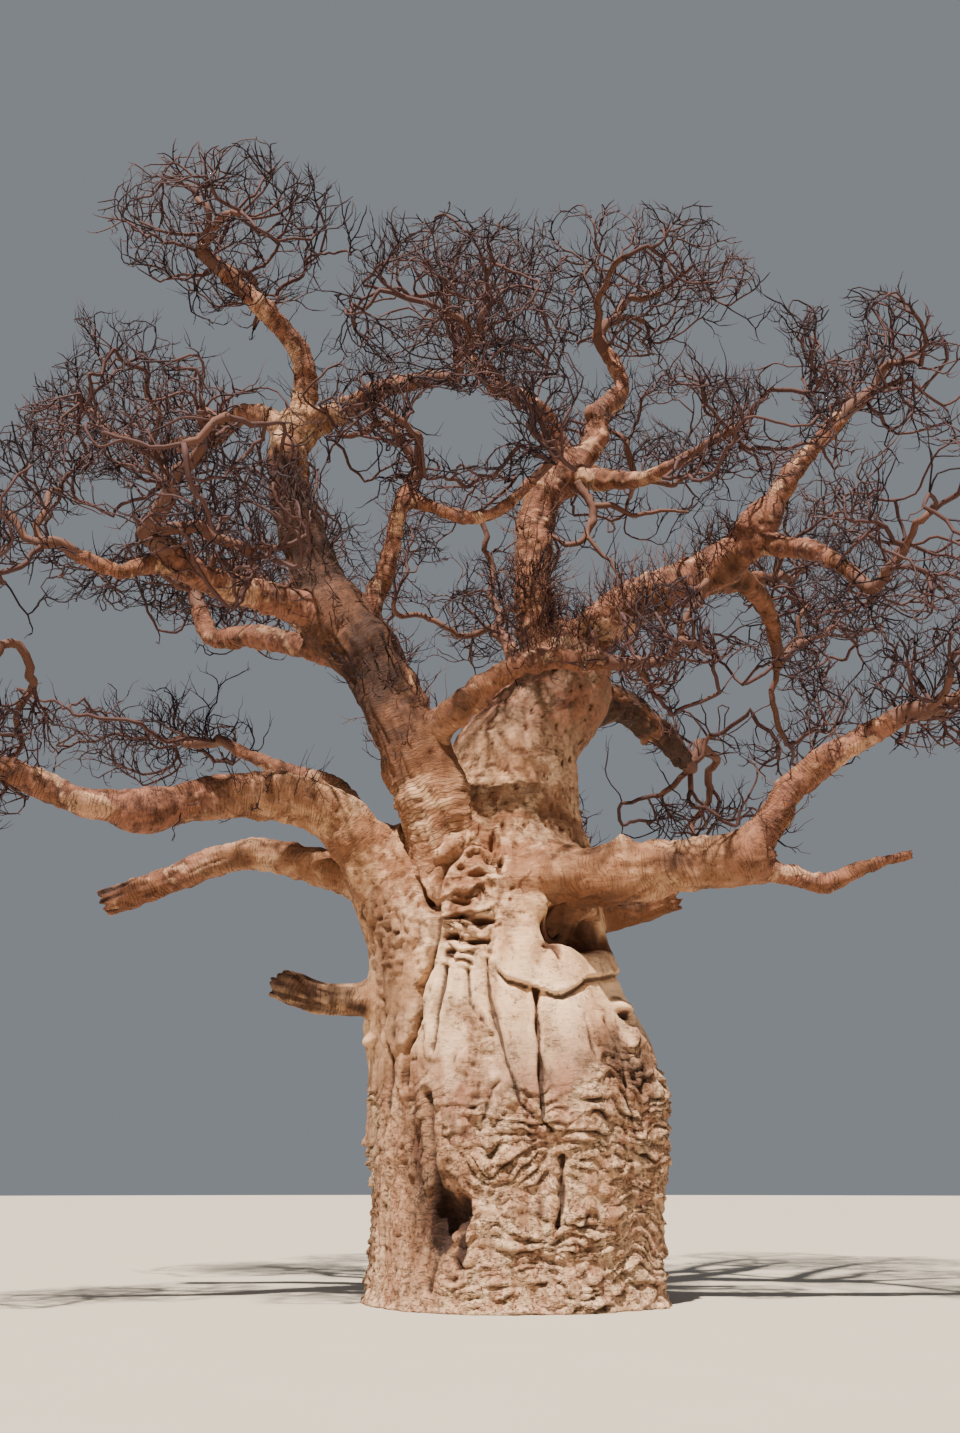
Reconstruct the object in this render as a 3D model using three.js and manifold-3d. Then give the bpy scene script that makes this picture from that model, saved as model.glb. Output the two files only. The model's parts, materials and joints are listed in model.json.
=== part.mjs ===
// A leafless baobab tree, in millimetres, with +Z up.
// The origin is on the ground, at the middle of the flat cut under the trunk.
// The trunk, each bough and each mass of bare twigs is a solid of its own, a hair's breadth apart.

import * as THREE from "three";
import Module from "manifold-3d";

const wasm = await Module();
wasm.setup();

// Fineness of the solids
const TRUNK_SIDES = 40;
const MIN_RING_GAP = 400;
const STOUT_SIDES = 8;
const SLIM_SIDES = 6;
const SLIM_RADIUS = 230;
const BOUGH_STEPS = 6;
const TWIG_SIDES = 3;

// Gaps between neighbouring solids
const CLEARANCE = 0.35;
const TRUNK_CLEARANCE = 0.7;

// Trunk outline: height, middle x, middle y, half width along x, half depth along y
const TRUNK_RINGS = [
  [0, 0, 0, 2050, 1970],
  [250, 0, 0, 1980, 1900],
  [1350, 50, 0, 2010, 1920],
  [2050, 80, 0, 2080, 1960],
  [2700, 80, 0, 2080, 1960],
  [3430, -40, 0, 1980, 1880],
  [4160, -240, 0, 1860, 1780],
  [4900, -370, 0, 1810, 1700],
  [5500, -440, 0, 1780, 1620],
  [6130, -320, 20, 1620, 1440],
  [6900, -240, 50, 1300, 1220],
  [7560, -20, 100, 1060, 1040],
  [8210, 120, 140, 980, 940],
  [8880, 530, 180, 860, 820],
  [9400, 820, 200, 690, 680],
  [9750, 880, 200, 430, 430],
];

// Folds and buttresses of the trunk: bearing from +X and spread in degrees, share of the radius, and
// the lowest and highest height. A slanting fold has a bearing for each of several heights.
const LEFT_SLANT = [
  [900, -146], [2900, -143.5], [3300, -141], [3750, -130.5], [4150, -126.5],
  [4450, -119], [5150, -112], [5650, -121], [6100, -125],
];
const FRONT_SLANT = [[1300, -76], [2350, -82], [3200, -81], [4100, -74], [4700, -68]];
const TRUNK_FOLDS = [
  { bearing: LEFT_SLANT, share: -0.08, spread: 9, low: 900, high: 6100 },
  { bearing: FRONT_SLANT, share: -0.07, spread: 7, low: 1300, high: 4700 },
  { bearing: -66, share: 0.06, spread: 13, low: 800, high: 6200 },
  { bearing: -112, share: 0.06, spread: 14, low: 0, high: 6800 },
  { bearing: -20, share: 0.06, spread: 16, low: 0, high: 5200 },
  { bearing: 15, share: -0.08, spread: 11, low: 0, high: 5000 },
  { bearing: 48, share: 0.07, spread: 16, low: 0, high: 6400 },
  { bearing: 82, share: -0.09, spread: 10, low: 300, high: 5600 },
  { bearing: 112, share: 0.06, spread: 15, low: 0, high: 6600 },
  { bearing: 148, share: -0.08, spread: 11, low: 0, high: 5000 },
  { bearing: 178, share: 0.05, spread: 14, low: 0, high: 4800 },
];
const FOLD_FADE = 700;

// Hollows (negative) and swellings of the trunk: bearing, height, share of the radius, and how far each
// spreads in degrees and in height
const TRUNK_LUMPS = [
  { bearing: -121, height: 1150, share: -0.1, spread: 8, rise: 480 },
  { bearing: -75, height: 1500, share: -0.05, spread: 7, rise: 450 },
  { bearing: -98, height: 950, share: 0.05, spread: 12, rise: 650 },
  { bearing: -52, height: 1150, share: 0.05, spread: 13, rise: 600 },
  { bearing: -44, height: 5080, share: -0.13, spread: 13, rise: 260 },
  { bearing: -42, height: 5750, share: 0.07, spread: 18, rise: 420 },
  { bearing: -100, height: 5250, share: 0.05, spread: 12, rise: 700 },
  { bearing: -150, height: 1900, share: 0.05, spread: 12, rise: 700 },
  { bearing: -138, height: 250, share: 0.06, spread: 9, rise: 350 },
  { bearing: -66, height: 200, share: 0.06, spread: 10, rise: 350 },
  { bearing: -28, height: 250, share: 0.05, spread: 9, rise: 350 },
  { bearing: 30, height: 3400, share: -0.06, spread: 9, rise: 450 },
  { bearing: 62, height: 1300, share: 0.06, spread: 14, rise: 600 },
  { bearing: 98, height: 2100, share: -0.07, spread: 9, rise: 500 },
  { bearing: 130, height: 2900, share: 0.06, spread: 13, rise: 600 },
  { bearing: 165, height: 1200, share: -0.07, spread: 9, rise: 500 },
];

// Boughs: the limb each grows from, its radius at the root and at the tip, and the bends of its middle line.
// A collar is the extra radius where a bough leaves the trunk. A broken bough ends in a flat break.
const BOUGHS = [
  {
    name: "left_leader",
    from: "trunk",
    girth: [520, 440],
    collar: 90,
    bends: [
      [-900, -750, 5800], [-1150, -1150, 6600], [-1500, -1150, 7750],
      [-2050, -1000, 9000], [-2700, -850, 9950],
    ],
  },
  {
    name: "left_upright",
    from: "left_leader",
    girth: [400, 290],
    bends: [
      [-2700, -850, 9850], [-3100, -800, 10750], [-3400, -800, 11650],
      [-3600, -800, 12600], [-3550, -700, 13350],
    ],
  },
  {
    name: "top_left_bough",
    from: "left_upright",
    girth: [210, 140],
    bends: [
      [-3550, -700, 13250], [-3400, -700, 14100], [-3550, -900, 14800],
      [-4100, -1200, 15350], [-4700, -1450, 15850],
    ],
  },
  {
    name: "top_middle_bough",
    from: "left_upright",
    girth: [220, 120],
    bends: [
      [-3550, -700, 13250], [-2850, -900, 13550], [-2050, -1300, 13750],
      [-1300, -1700, 13700],
    ],
  },
  {
    name: "high_left_arm",
    from: "left_upright",
    girth: [190, 120],
    bends: [
      [-3600, -700, 13250], [-4000, -600, 13650], [-4550, -300, 13850],
      [-5100, 200, 13700], [-5950, 700, 13850],
    ],
  },
  {
    name: "middle_left_arm",
    from: "left_leader",
    girth: [270, 180],
    bends: [
      [-2650, -850, 9800], [-3350, -1200, 10000], [-4050, -1700, 10000],
      [-4650, -2100, 10100], [-5000, -2500, 10300],
    ],
  },
  {
    name: "far_left_arm",
    from: "middle_left_arm",
    girth: [150, 100],
    bends: [
      [-4750, -2200, 10150], [-5300, -2500, 10100], [-5700, -2700, 9900],
      [-6200, -2900, 10050],
    ],
  },
  {
    name: "low_left_crook",
    from: "left_leader",
    girth: [220, 140],
    bends: [
      [-2600, -750, 9350], [-3450, -300, 9750], [-4250, 200, 10050],
      [-4950, 600, 10200], [-5250, 900, 10800],
    ],
  },
  {
    name: "slim_upright",
    from: "left_leader",
    girth: [150, 130],
    bends: [
      [-2200, -950, 9250], [-2150, -900, 10150], [-1950, -900, 10800],
      [-1800, -1000, 11550], [-1650, -1100, 12000],
    ],
  },
  {
    name: "slim_arm",
    from: "slim_upright",
    girth: [120, 80],
    bends: [
      [-1680, -1080, 11900], [-1250, -1300, 11650], [-700, -1500, 11350],
      [-150, -1700, 11400], [300, -1850, 11800],
    ],
  },
  {
    name: "crossing_arm",
    from: "left_leader",
    girth: [250, 130],
    bends: [
      [-1400, -1200, 7800], [-850, -1700, 8100], [-250, -1900, 8550],
      [400, -1900, 8850], [1300, -1850, 8850],
    ],
  },
  {
    name: "centre_bough",
    from: "trunk",
    girth: [360, 270],
    collar: 60,
    bends: [
      [750, 100, 9100], [550, 100, 9850], [400, 100, 10800],
      [400, 200, 11600], [550, 300, 12500], [1000, 400, 13200],
    ],
  },
  {
    name: "centre_crown",
    from: "centre_bough",
    girth: [220, 130],
    bends: [
      [980, 400, 13100], [1500, 500, 13850], [1650, 600, 14450],
      [2050, 800, 15050], [1850, 900, 15800],
    ],
  },
  {
    name: "centre_left_arm",
    from: "centre_bough",
    girth: [180, 110],
    bends: [
      [1000, 380, 13150], [750, 100, 13950], [350, -200, 14200],
      [-250, -400, 14400], [-700, -500, 14950],
    ],
  },
  {
    name: "centre_right_arm",
    from: "centre_bough",
    girth: [180, 100],
    bends: [
      [950, 380, 13100], [1600, 0, 12800], [2150, -600, 12500],
      [2550, -1100, 12450],
    ],
  },
  {
    name: "right_bough",
    from: "trunk",
    girth: [400, 270],
    collar: 60,
    bends: [
      [900, 300, 9150], [1300, 0, 9900], [2000, -400, 10350],
      [2850, -800, 10600], [3500, -1100, 10950], [3900, -1300, 11400],
    ],
  },
  {
    name: "right_high_arm",
    from: "right_bough",
    girth: [200, 130],
    bends: [
      [3880, -1290, 11350], [4250, -1400, 11900], [4750, -1400, 12550],
      [5250, -1450, 13150],
    ],
  },
  {
    name: "right_far_arm",
    from: "right_bough",
    girth: [180, 110],
    bends: [
      [3700, -1200, 11100], [4250, -1700, 10750], [4600, -2200, 10400],
      [4900, -2600, 9900],
    ],
  },
  {
    name: "right_hanging_arm",
    from: "right_bough",
    girth: [200, 110],
    bends: [
      [3250, -1000, 10800], [3850, -300, 10750], [4300, 400, 10550],
      [4500, 900, 10250],
    ],
  },
  {
    name: "back_right_bough",
    from: "trunk",
    girth: [340, 150],
    collar: 60,
    bends: [
      [1000, 300, 8800], [1850, 1300, 9250], [2450, 2200, 9200],
      [2950, 3100, 9100], [3300, 3900, 9050],
    ],
  },
  {
    name: "low_right_inner",
    from: "trunk",
    girth: [500, 310],
    collar: 120,
    bends: [
      [100, -900, 5250], [950, -1300, 5600], [1800, -1400, 5800],
      [2550, -1500, 5850], [3250, -1600, 5950],
    ],
  },
  {
    name: "low_right_outer",
    from: "low_right_inner",
    girth: [260, 160],
    bends: [
      [3100, -1580, 5930], [3600, -1700, 6350], [4000, -1900, 6950],
      [4750, -2100, 7450], [5300, -2300, 7750],
    ],
  },
  {
    name: "low_right_broken",
    from: "low_right_inner",
    girth: [200, 60],
    broken: true,
    bends: [
      [3100, -1600, 5900], [3900, -1600, 5700], [4400, -1600, 5600],
      [4900, -1600, 5800], [5600, -1600, 6000],
    ],
  },
  {
    name: "low_right_stub",
    from: "trunk",
    girth: [310, 140],
    collar: 80,
    broken: true,
    bends: [
      [700, 200, 5600], [1500, 300, 5500], [2050, 300, 5550],
      [2500, 300, 5700],
    ],
  },
  {
    name: "low_left_inner",
    from: "trunk",
    girth: [500, 260],
    collar: 140,
    bends: [
      [-1250, 0, 5600], [-2100, -400, 6200], [-2750, -600, 6850],
      [-3600, -900, 7050], [-4600, -1300, 6850], [-5350, -1700, 6600],
    ],
  },
  {
    name: "low_left_outer",
    from: "low_left_inner",
    girth: [250, 160],
    bends: [
      [-5200, -1620, 6640], [-6000, -2000, 6650], [-6600, -2200, 6850],
      [-7100, -2400, 7050],
    ],
  },
  {
    name: "low_left_broken",
    from: "trunk",
    girth: [300, 200],
    collar: 80,
    broken: true,
    bends: [
      [-1900, 100, 5900], [-3150, 400, 6300], [-3950, 600, 6500],
      [-4700, 800, 6450], [-5500, 900, 6150], [-6400, 1000, 5850],
    ],
  },
  {
    name: "low_left_riser",
    from: "low_left_inner",
    girth: [170, 100],
    bends: [
      [-2150, -100, 6300], [-2550, 900, 7400], [-3000, 1200, 7850],
      [-3900, 1700, 8250], [-4700, 2100, 8700],
    ],
  },
  {
    name: "left_stub",
    from: "trunk",
    girth: [250, 170],
    collar: 60,
    broken: true,
    bends: [
      [-1650, -200, 4150], [-2350, -300, 4100], [-2850, -300, 4150],
      [-3400, -300, 4350],
    ],
  },
  {
    name: "back_left_bough",
    from: "left_leader",
    girth: [270, 140],
    bends: [
      [-2250, -900, 9150], [-2600, 400, 9900], [-3300, 2000, 10700],
      [-3900, 3200, 11600], [-4400, 4000, 12300],
    ],
  },
  {
    name: "back_bough",
    from: "trunk",
    girth: [360, 150],
    collar: 60,
    bends: [
      [700, 400, 8600], [720, 1600, 9300], [560, 2900, 10000],
      [350, 4000, 10750], [100, 4700, 11600],
    ],
  },
  {
    name: "back_high_bough",
    from: "centre_bough",
    girth: [200, 130],
    bends: [
      [950, 420, 12950], [1250, 1500, 13800], [1750, 2600, 14300],
      [2300, 3500, 14700],
    ],
  },
  {
    name: "right_back_arm",
    from: "right_bough",
    girth: [220, 130],
    bends: [
      [2800, -800, 10600], [3400, 600, 11200], [4100, 2000, 11800],
      [4700, 2900, 12300],
    ],
  },
  {
    name: "back_low_bough",
    from: "trunk",
    girth: [420, 160],
    collar: 120,
    bends: [
      [300, 700, 5800], [350, 2400, 6400], [200, 3700, 6700],
      [300, 4600, 7100],
    ],
  },
];
const COLLAR_LENGTH = 450;

// Masses of bare twigs: the bough each grows from, the middle of its space, and half its size
// along x, y and z
const MASSES = [
  { name: "top_left_twigs", from: "top_left_bough",
    middle: [-4550, -2000, 16600], half: [2600, 2400, 1900] },
  { name: "top_middle_twigs", from: "top_middle_bough",
    middle: [-900, -3200, 13650], half: [2000, 2100, 1400] },
  { name: "high_left_twigs", from: "high_left_arm",
    middle: [-7350, 800, 14750], half: [2400, 2600, 1900] },
  { name: "middle_left_twigs", from: "middle_left_arm",
    middle: [-4400, -3600, 10900], half: [1900, 2200, 1700] },
  { name: "far_left_twigs", from: "far_left_arm",
    middle: [-7150, -3200, 10700], half: [2000, 2100, 1700] },
  { name: "low_left_twigs", from: "low_left_crook",
    middle: [-5950, 1900, 11600], half: [2200, 2200, 1400] },
  { name: "slim_upright_twigs", from: "slim_upright",
    middle: [-2000, -1600, 12850], half: [1300, 1600, 1400] },
  { name: "slim_arm_twigs", from: "slim_arm",
    middle: [-200, -3500, 11900], half: [1300, 1700, 1100] },
  { name: "crossing_arm_twigs", from: "crossing_arm",
    middle: [2250, -2300, 8900], half: [1100, 1500, 1000] },
  { name: "centre_crown_twigs", from: "centre_crown",
    middle: [2650, 800, 17300], half: [2500, 2200, 1600] },
  { name: "centre_left_twigs", from: "centre_left_arm",
    middle: [-900, -200, 16600], half: [2050, 1900, 1850] },
  { name: "centre_right_twigs", from: "centre_right_arm",
    middle: [3700, -2400, 12800], half: [1800, 2200, 1600] },
  { name: "right_high_twigs", from: "right_high_arm",
    middle: [6000, -1600, 14000], half: [2100, 2300, 1500] },
  { name: "right_far_twigs", from: "right_far_arm",
    middle: [5650, -3400, 9850], half: [1700, 2200, 1800] },
  { name: "right_hanging_twigs", from: "right_hanging_arm",
    middle: [5100, 1900, 10050], half: [1700, 2000, 1600] },
  { name: "back_right_twigs", from: "back_right_bough",
    middle: [3600, 5000, 9100], half: [1800, 2200, 1600] },
  { name: "low_right_twigs", from: "low_right_outer",
    middle: [6350, -2600, 8400], half: [1800, 2200, 1500] },
  { name: "outer_left_twigs", from: "low_left_outer",
    middle: [-7850, -2600, 7450], half: [1700, 2200, 1600] },
  { name: "low_riser_twigs", from: "low_left_riser",
    middle: [-6500, 3000, 9650], half: [2400, 2200, 1300] },
  { name: "back_left_twigs", from: "back_left_bough",
    middle: [-4900, 5000, 13600], half: [2500, 2500, 2000] },
  { name: "back_twigs", from: "back_bough",
    middle: [-800, 5300, 13500], half: [2400, 2200, 2300] },
  { name: "back_high_twigs", from: "back_high_bough",
    middle: [3000, 4600, 15900], half: [2300, 2300, 1800] },
  { name: "right_back_twigs", from: "right_back_arm",
    middle: [5700, 3800, 13000], half: [2300, 2400, 1900] },
  { name: "back_low_twigs", from: "back_low_bough",
    middle: [400, 5600, 8100], half: [1600, 1600, 1300] },
];

// Growth of the twigs
const SEED = 7411;
const SEED_STRIDE = 977;
const TARGETS = 12;
const STRIDE = 780;
const REACH = 1.5;
const SWAY = 0.28;
const MOMENTUM = 0.5;
const SHARPEST_TURN = -0.2;
const MOST_ROUNDS = 40;
const FIRST_STRIDE = 0.6;
const CROWDED = 0.4;
const BALANCED_PULL = 0.3;
const TIP_RADIUS = 30;
const GIRTH_POWER = 2.2;
const LIMB_ROOM = 110;
const TWIG_ROOM = 110;
const SPACE_MARGIN = 0.03;
const STEM_SINK = 60;
const GOLDEN_ANGLE = Math.PI * (3 - Math.sqrt(5));

const barkColours = { trunk: 0xcdb093, bough: 0xa8866a, twigs: 0x705548 };
const barkRoughness = 0.85;

const asVector = (values) => new THREE.Vector3(...values);
const { clamp, degToRad, euclideanModulo, smoothstep } = THREE.MathUtils;

// Random numbers between 0 and 1, the same on every run: a Lehmer generator
function randomFrom(seed) {
  const modulus = 2147483647;
  const factor = 48271;
  let state = seed;
  return () => {
    state = (state * factor) % modulus;
    return state / modulus;
  };
}

// Closed geometry over a stack of rings that have the same number of points, with a fan over each end
function skin(rings) {
  const sides = rings[0].length;
  const positions = rings.flat().flatMap((point) => point.toArray());
  const ends = [rings[0], rings[rings.length - 1]];
  for (const ring of ends) {
    const middle = new THREE.Vector3();
    for (const point of ring) middle.addScaledVector(point, 1 / sides);
    positions.push(...middle.toArray());
  }
  const bottom = rings.length * sides;
  const top = bottom + 1;
  const last = (rings.length - 1) * sides;
  const faces = [];
  for (let side = 0; side < sides; side += 1) {
    const next = (side + 1) % sides;
    for (let row = 0; row < rings.length - 1; row += 1) {
      const low = row * sides;
      const high = low + sides;
      faces.push(low + side, low + next, high + next);
      faces.push(low + side, high + next, high + side);
    }
    faces.push(bottom, next, side);
    faces.push(top, last + side, last + next);
  }
  const geometry = new THREE.BufferGeometry();
  geometry.setAttribute("position", new THREE.Float32BufferAttribute(positions, 3));
  geometry.setIndex(faces);
  return geometry;
}

// Tube along a line of points, its section carried along without twisting
function tube(points, radii, sides) {
  const count = points.length;
  const along = points.map((point, i) => {
    const before = points[Math.max(i - 1, 0)];
    const after = points[Math.min(i + 1, count - 1)];
    return after.clone().sub(before).normalize();
  });
  let across = new THREE.Vector3(1, 0, 0);
  if (Math.abs(along[0].x) > 0.8) across = new THREE.Vector3(0, 1, 0);
  const rings = points.map((point, i) => {
    across = across.clone().addScaledVector(along[i], -across.dot(along[i])).normalize();
    const third = along[i].clone().cross(across);
    return Array.from({ length: sides }, (_, side) => {
      const turn = (2 * Math.PI * side) / sides;
      return point
        .clone()
        .addScaledVector(across, radii[i] * Math.cos(turn))
        .addScaledVector(third, radii[i] * Math.sin(turn));
    });
  });
  return skin(rings);
}

function solidOf(geometry) {
  const mesh = new wasm.Mesh({
    numProp: 3,
    vertProperties: new Float32Array(geometry.getAttribute("position").array),
    triVerts: new Uint32Array(geometry.index.array),
  });
  return new wasm.Manifold(mesh);
}

function geometryOf(solid) {
  const mesh = solid.getMesh();
  const geometry = new THREE.BufferGeometry();
  geometry.setAttribute("position", new THREE.BufferAttribute(mesh.vertProperties, 3));
  geometry.setIndex(new THREE.BufferAttribute(mesh.triVerts, 1));
  return geometry;
}

// The largest piece of a solid that a cut has left in several
function largestPiece(solid) {
  return solid.decompose().reduce((best, piece) => (piece.volume() > best.volume() ? piece : best));
}

// Bearing of a fold at a height: straight between the bearings of a slanting fold
function foldBearing({ bearing }, height) {
  if (!Array.isArray(bearing)) return bearing;
  const above = bearing.findIndex(([level]) => level > height);
  if (above === 0) return bearing[0][1];
  if (above < 0) return bearing[bearing.length - 1][1];
  const [[low, from], [high, to]] = [bearing[above - 1], bearing[above]];
  return from + ((to - from) * (height - low)) / (high - low);
}

// Share of the trunk's radius that its folds, buttresses, hollows and swellings add at a bearing and height
function foldShare(bearing, height) {
  const turnFrom = (middle) => euclideanModulo(bearing - middle + 180, 360) - 180;
  let share = 0;
  for (const fold of TRUNK_FOLDS) {
    const rise = fold.low === 0 ? 1 : smoothstep(height, fold.low, fold.low + FOLD_FADE);
    const fall = 1 - smoothstep(height, fold.high - FOLD_FADE, fold.high);
    share += fold.share * rise * fall * Math.exp(-((turnFrom(foldBearing(fold, height)) / fold.spread) ** 2));
  }
  for (const lump of TRUNK_LUMPS) {
    const across = turnFrom(lump.bearing) / lump.spread;
    const upwards = (height - lump.height) / lump.rise;
    share += lump.share * Math.exp(-(across ** 2) - upwards ** 2);
  }
  return share;
}

// Outline of the trunk half-way between two of its rings, on a smooth curve through them
function ringBetween(low) {
  const at = (i) => TRUNK_RINGS[clamp(i, 0, TRUNK_RINGS.length - 1)];
  return at(low).map((value, k) => {
    const outer = at(low - 1)[k] + at(low + 2)[k];
    return (9 * (value + at(low + 1)[k]) - outer) / 16;
  });
}

// Trunk: a ring at each height and between each two, its width and depth scaled by the folds, and grown all
// round by the clearance
function trunkGeometry(clearance) {
  const top = TRUNK_RINGS[TRUNK_RINGS.length - 1][0];
  const outline = TRUNK_RINGS.flatMap((ring, i) => {
    const last = i === TRUNK_RINGS.length - 1;
    return last || TRUNK_RINGS[i + 1][0] - ring[0] < MIN_RING_GAP ? [ring] : [ring, ringBetween(i)];
  });
  const rings = outline.map(([height, x, y, halfWidth, halfDepth]) =>
    Array.from({ length: TRUNK_SIDES }, (_, side) => {
      const bearing = (360 * side) / TRUNK_SIDES;
      const turn = degToRad(bearing);
      const share = 1 + foldShare(bearing, height);
      const z = height === top ? height + clearance : height;
      return new THREE.Vector3(
        x + (halfWidth * share + clearance) * Math.cos(turn),
        y + (halfDepth * share + clearance) * Math.sin(turn),
        z,
      );
    }),
  );
  return skin(rings);
}

// Middle line and radii of a bough: a smooth curve through its bends, tapering evenly, swollen at the trunk
function boughLine(bough) {
  const curve = new THREE.CatmullRomCurve3(bough.bends.map(asVector), false, "catmullrom", 0.5);
  const points = curve.getSpacedPoints(BOUGH_STEPS);
  const length = curve.getLength();
  const [rootRadius, tipRadius] = bough.girth;
  const radii = points.map((_, i) => {
    const share = i / BOUGH_STEPS;
    const collar = (bough.collar ?? 0) * Math.exp(-(share * length) / COLLAR_LENGTH);
    return rootRadius + (tipRadius - rootRadius) * share + collar;
  });
  return { points, radii };
}

// A bough that isn't broken ends in a low dome, on which its mass of twigs stands
function boughGeometry(bough, clearance) {
  const { points, radii } = boughLine(bough);
  const tip = points[points.length - 1];
  const heading = tip.clone().sub(points[points.length - 2]).normalize();
  const tipRadius = radii[radii.length - 1];
  if (!bough.broken) {
    points.push(tip.clone().addScaledVector(heading, tipRadius / 3));
    radii.push(tipRadius / 2);
  }
  points[0] = points[0].clone().addScaledVector(points[1].clone().sub(points[0]).normalize(), -clearance);
  points.push(points.pop().addScaledVector(heading, clearance));
  const sides = bough.girth[0] < SLIM_RADIUS ? SLIM_SIDES : STOUT_SIDES;
  const growth = clearance / Math.cos(Math.PI / sides);
  return tube(points, radii.map((radius) => radius + growth), sides);
}

// Distance of a place from a mass's middle, as a share of its half sizes
function shareOut(mass, place) {
  const [x, y, z] = mass.middle;
  const [a, b, c] = mass.half;
  return Math.hypot((place.x - x) / a, (place.y - y) / b, (place.z - z) / c);
}

// True where a place is in a mass's own space, nearer to its middle than to any other mass's
function inOwnSpace(mass, place, margin) {
  const own = shareOut(mass, place);
  if (own > 1 + SPACE_MARGIN) return false;
  return MASSES.every((other) => other === mass || shareOut(other, place) > own + margin);
}

// Least distance between two straight stretches
function gapBetween(a, b, c, d) {
  const u = b.clone().sub(a);
  const v = d.clone().sub(c);
  const w = a.clone().sub(c);
  const uu = u.dot(u);
  const uv = u.dot(v);
  const vv = v.dot(v);
  const uw = u.dot(w);
  const vw = v.dot(w);
  const skew = uu * vv - uv * uv;
  let s = skew > 1e-9 ? clamp((uv * vw - vv * uw) / skew, 0, 1) : 0;
  const t = clamp((uv * s + vw) / vv, 0, 1);
  s = clamp((uv * t - uw) / uu, 0, 1);
  return w.addScaledVector(u, s).addScaledVector(v, -t).length();
}

// Stretches of limb that no twig may touch, each with its thicker radius and the bough it belongs to
const limbStretches = BOUGHS.flatMap((bough) => {
  const { points, radii } = boughLine(bough);
  return points.slice(1).map((end, i) => ({
    owner: bough.name,
    start: points[i],
    end,
    radius: Math.max(radii[i], radii[i + 1]),
  }));
});
const twigStretches = [];

// Directions spread evenly over a ball, by turns of the golden angle
function evenDirection(index, count) {
  const up = 1 - (2 * index + 1) / count;
  const out = Math.sqrt(1 - up * up);
  const turn = GOLDEN_ANGLE * index;
  return new THREE.Vector3(out * Math.cos(turn), out * Math.sin(turn), up);
}

// Twigs of a mass, as nodes that each know the node they grow from.
// Targets stand all over the skin of the mass's space. In each round every node that is the nearest one to
// some target sends a twig towards the middle of those targets, and a target within reach gets its own tip.
// A twig keeps some of the way that its bearer was going, and one that would turn back sharply, leave the
// space, or touch a limb or another mass's twig, is skipped.
function growTwigs(mass, index) {
  const random = randomFrom(SEED + SEED_STRIDE * index);
  const { points } = boughLine(BOUGHS.find((bough) => bough.name === mass.from));
  const tip = points[points.length - 1];
  const heading = tip.clone().sub(points[points.length - 2]).normalize();
  const nodes = [
    { place: tip.clone().addScaledVector(heading, -STEM_SINK), from: -1 },
    { place: tip.clone().addScaledVector(heading, STRIDE * FIRST_STRIDE), from: 0 },
  ];
  const headingAt = (i) => nodes[i].place.clone().sub(nodes[nodes[i].from].place).normalize();
  const turnsBack = (i, place) => {
    const way = place.clone().sub(nodes[i].place).normalize();
    return way.dot(headingAt(i)) < SHARPEST_TURN;
  };
  const targets = [];
  for (let i = 0; i < TARGETS; i += 1) {
    const place = evenDirection(i, TARGETS).multiply(asVector(mass.half)).add(asVector(mass.middle));
    if (inOwnSpace(mass, place, SPACE_MARGIN)) targets.push(place);
  }
  const isFree = (start, end) => {
    if (!inOwnSpace(mass, end, SPACE_MARGIN)) return false;
    const clearOf = (other, room) => gapBetween(start, end, other.start, other.end) > other.radius + room;
    return (
      limbStretches.every((limb) => limb.owner === mass.from || clearOf(limb, LIMB_ROOM)) &&
      twigStretches.every((twig) => clearOf(twig, TWIG_ROOM))
    );
  };
  let live = targets;
  for (let round = 0; round < MOST_ROUNDS && live.length; round += 1) {
    const pulls = new Map();
    const waiting = [];
    for (const target of live) {
      let nearest = 1;
      for (let i = 2; i < nodes.length; i += 1) {
        if (nodes[i].place.distanceTo(target) < nodes[nearest].place.distanceTo(target)) nearest = i;
      }
      const start = nodes[nearest].place;
      if (start.distanceTo(target) < REACH * STRIDE) {
        if (!turnsBack(nearest, target) && isFree(start, target)) {
          nodes.push({ place: target, from: nearest });
        }
      } else {
        if (!pulls.has(nearest)) pulls.set(nearest, []);
        pulls.get(nearest).push(target);
        waiting.push(target);
      }
    }
    live = waiting;
    let grown = false;
    for (const [from, pull] of pulls) {
      const start = nodes[from].place;
      const way = new THREE.Vector3();
      for (const target of pull) way.add(target.clone().sub(start).normalize());
      if (way.length() < BALANCED_PULL * pull.length) way.copy(pull[0]).sub(start);
      way.normalize().addScaledVector(headingAt(from), MOMENTUM);
      way.x += SWAY * (2 * random() - 1);
      way.y += SWAY * (2 * random() - 1);
      way.z += SWAY * (2 * random() - 1);
      const place = start.clone().addScaledVector(way.normalize(), STRIDE);
      const crowded = nodes.some((node) => node.place.distanceTo(place) < CROWDED * STRIDE);
      if (crowded || (from !== 1 && !isFree(start, place))) {
        const ahead = start.clone().lerp(pull[0], 0.5);
        live = live.filter((target) => target !== pull[0]);
        if (from === 1 || isFree(start, ahead)) {
          nodes.push({ place: ahead, from });
          live.push(pull[0]);
          grown = true;
        }
      } else {
        nodes.push({ place, from });
        grown = true;
      }
    }
    if (!grown && pulls.size === 0) break;
  }
  return nodes;
}

// Radius of each twig node: a limb is as thick as all the tips it bears together call for
function twigRadii(nodes) {
  const load = nodes.map(() => 0);
  for (let i = nodes.length - 1; i > 0; i -= 1) {
    if (load[i] === 0) load[i] = TIP_RADIUS ** GIRTH_POWER;
    load[nodes[i].from] += load[i];
  }
  return load.map((sum) => sum ** (1 / GIRTH_POWER));
}

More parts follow.
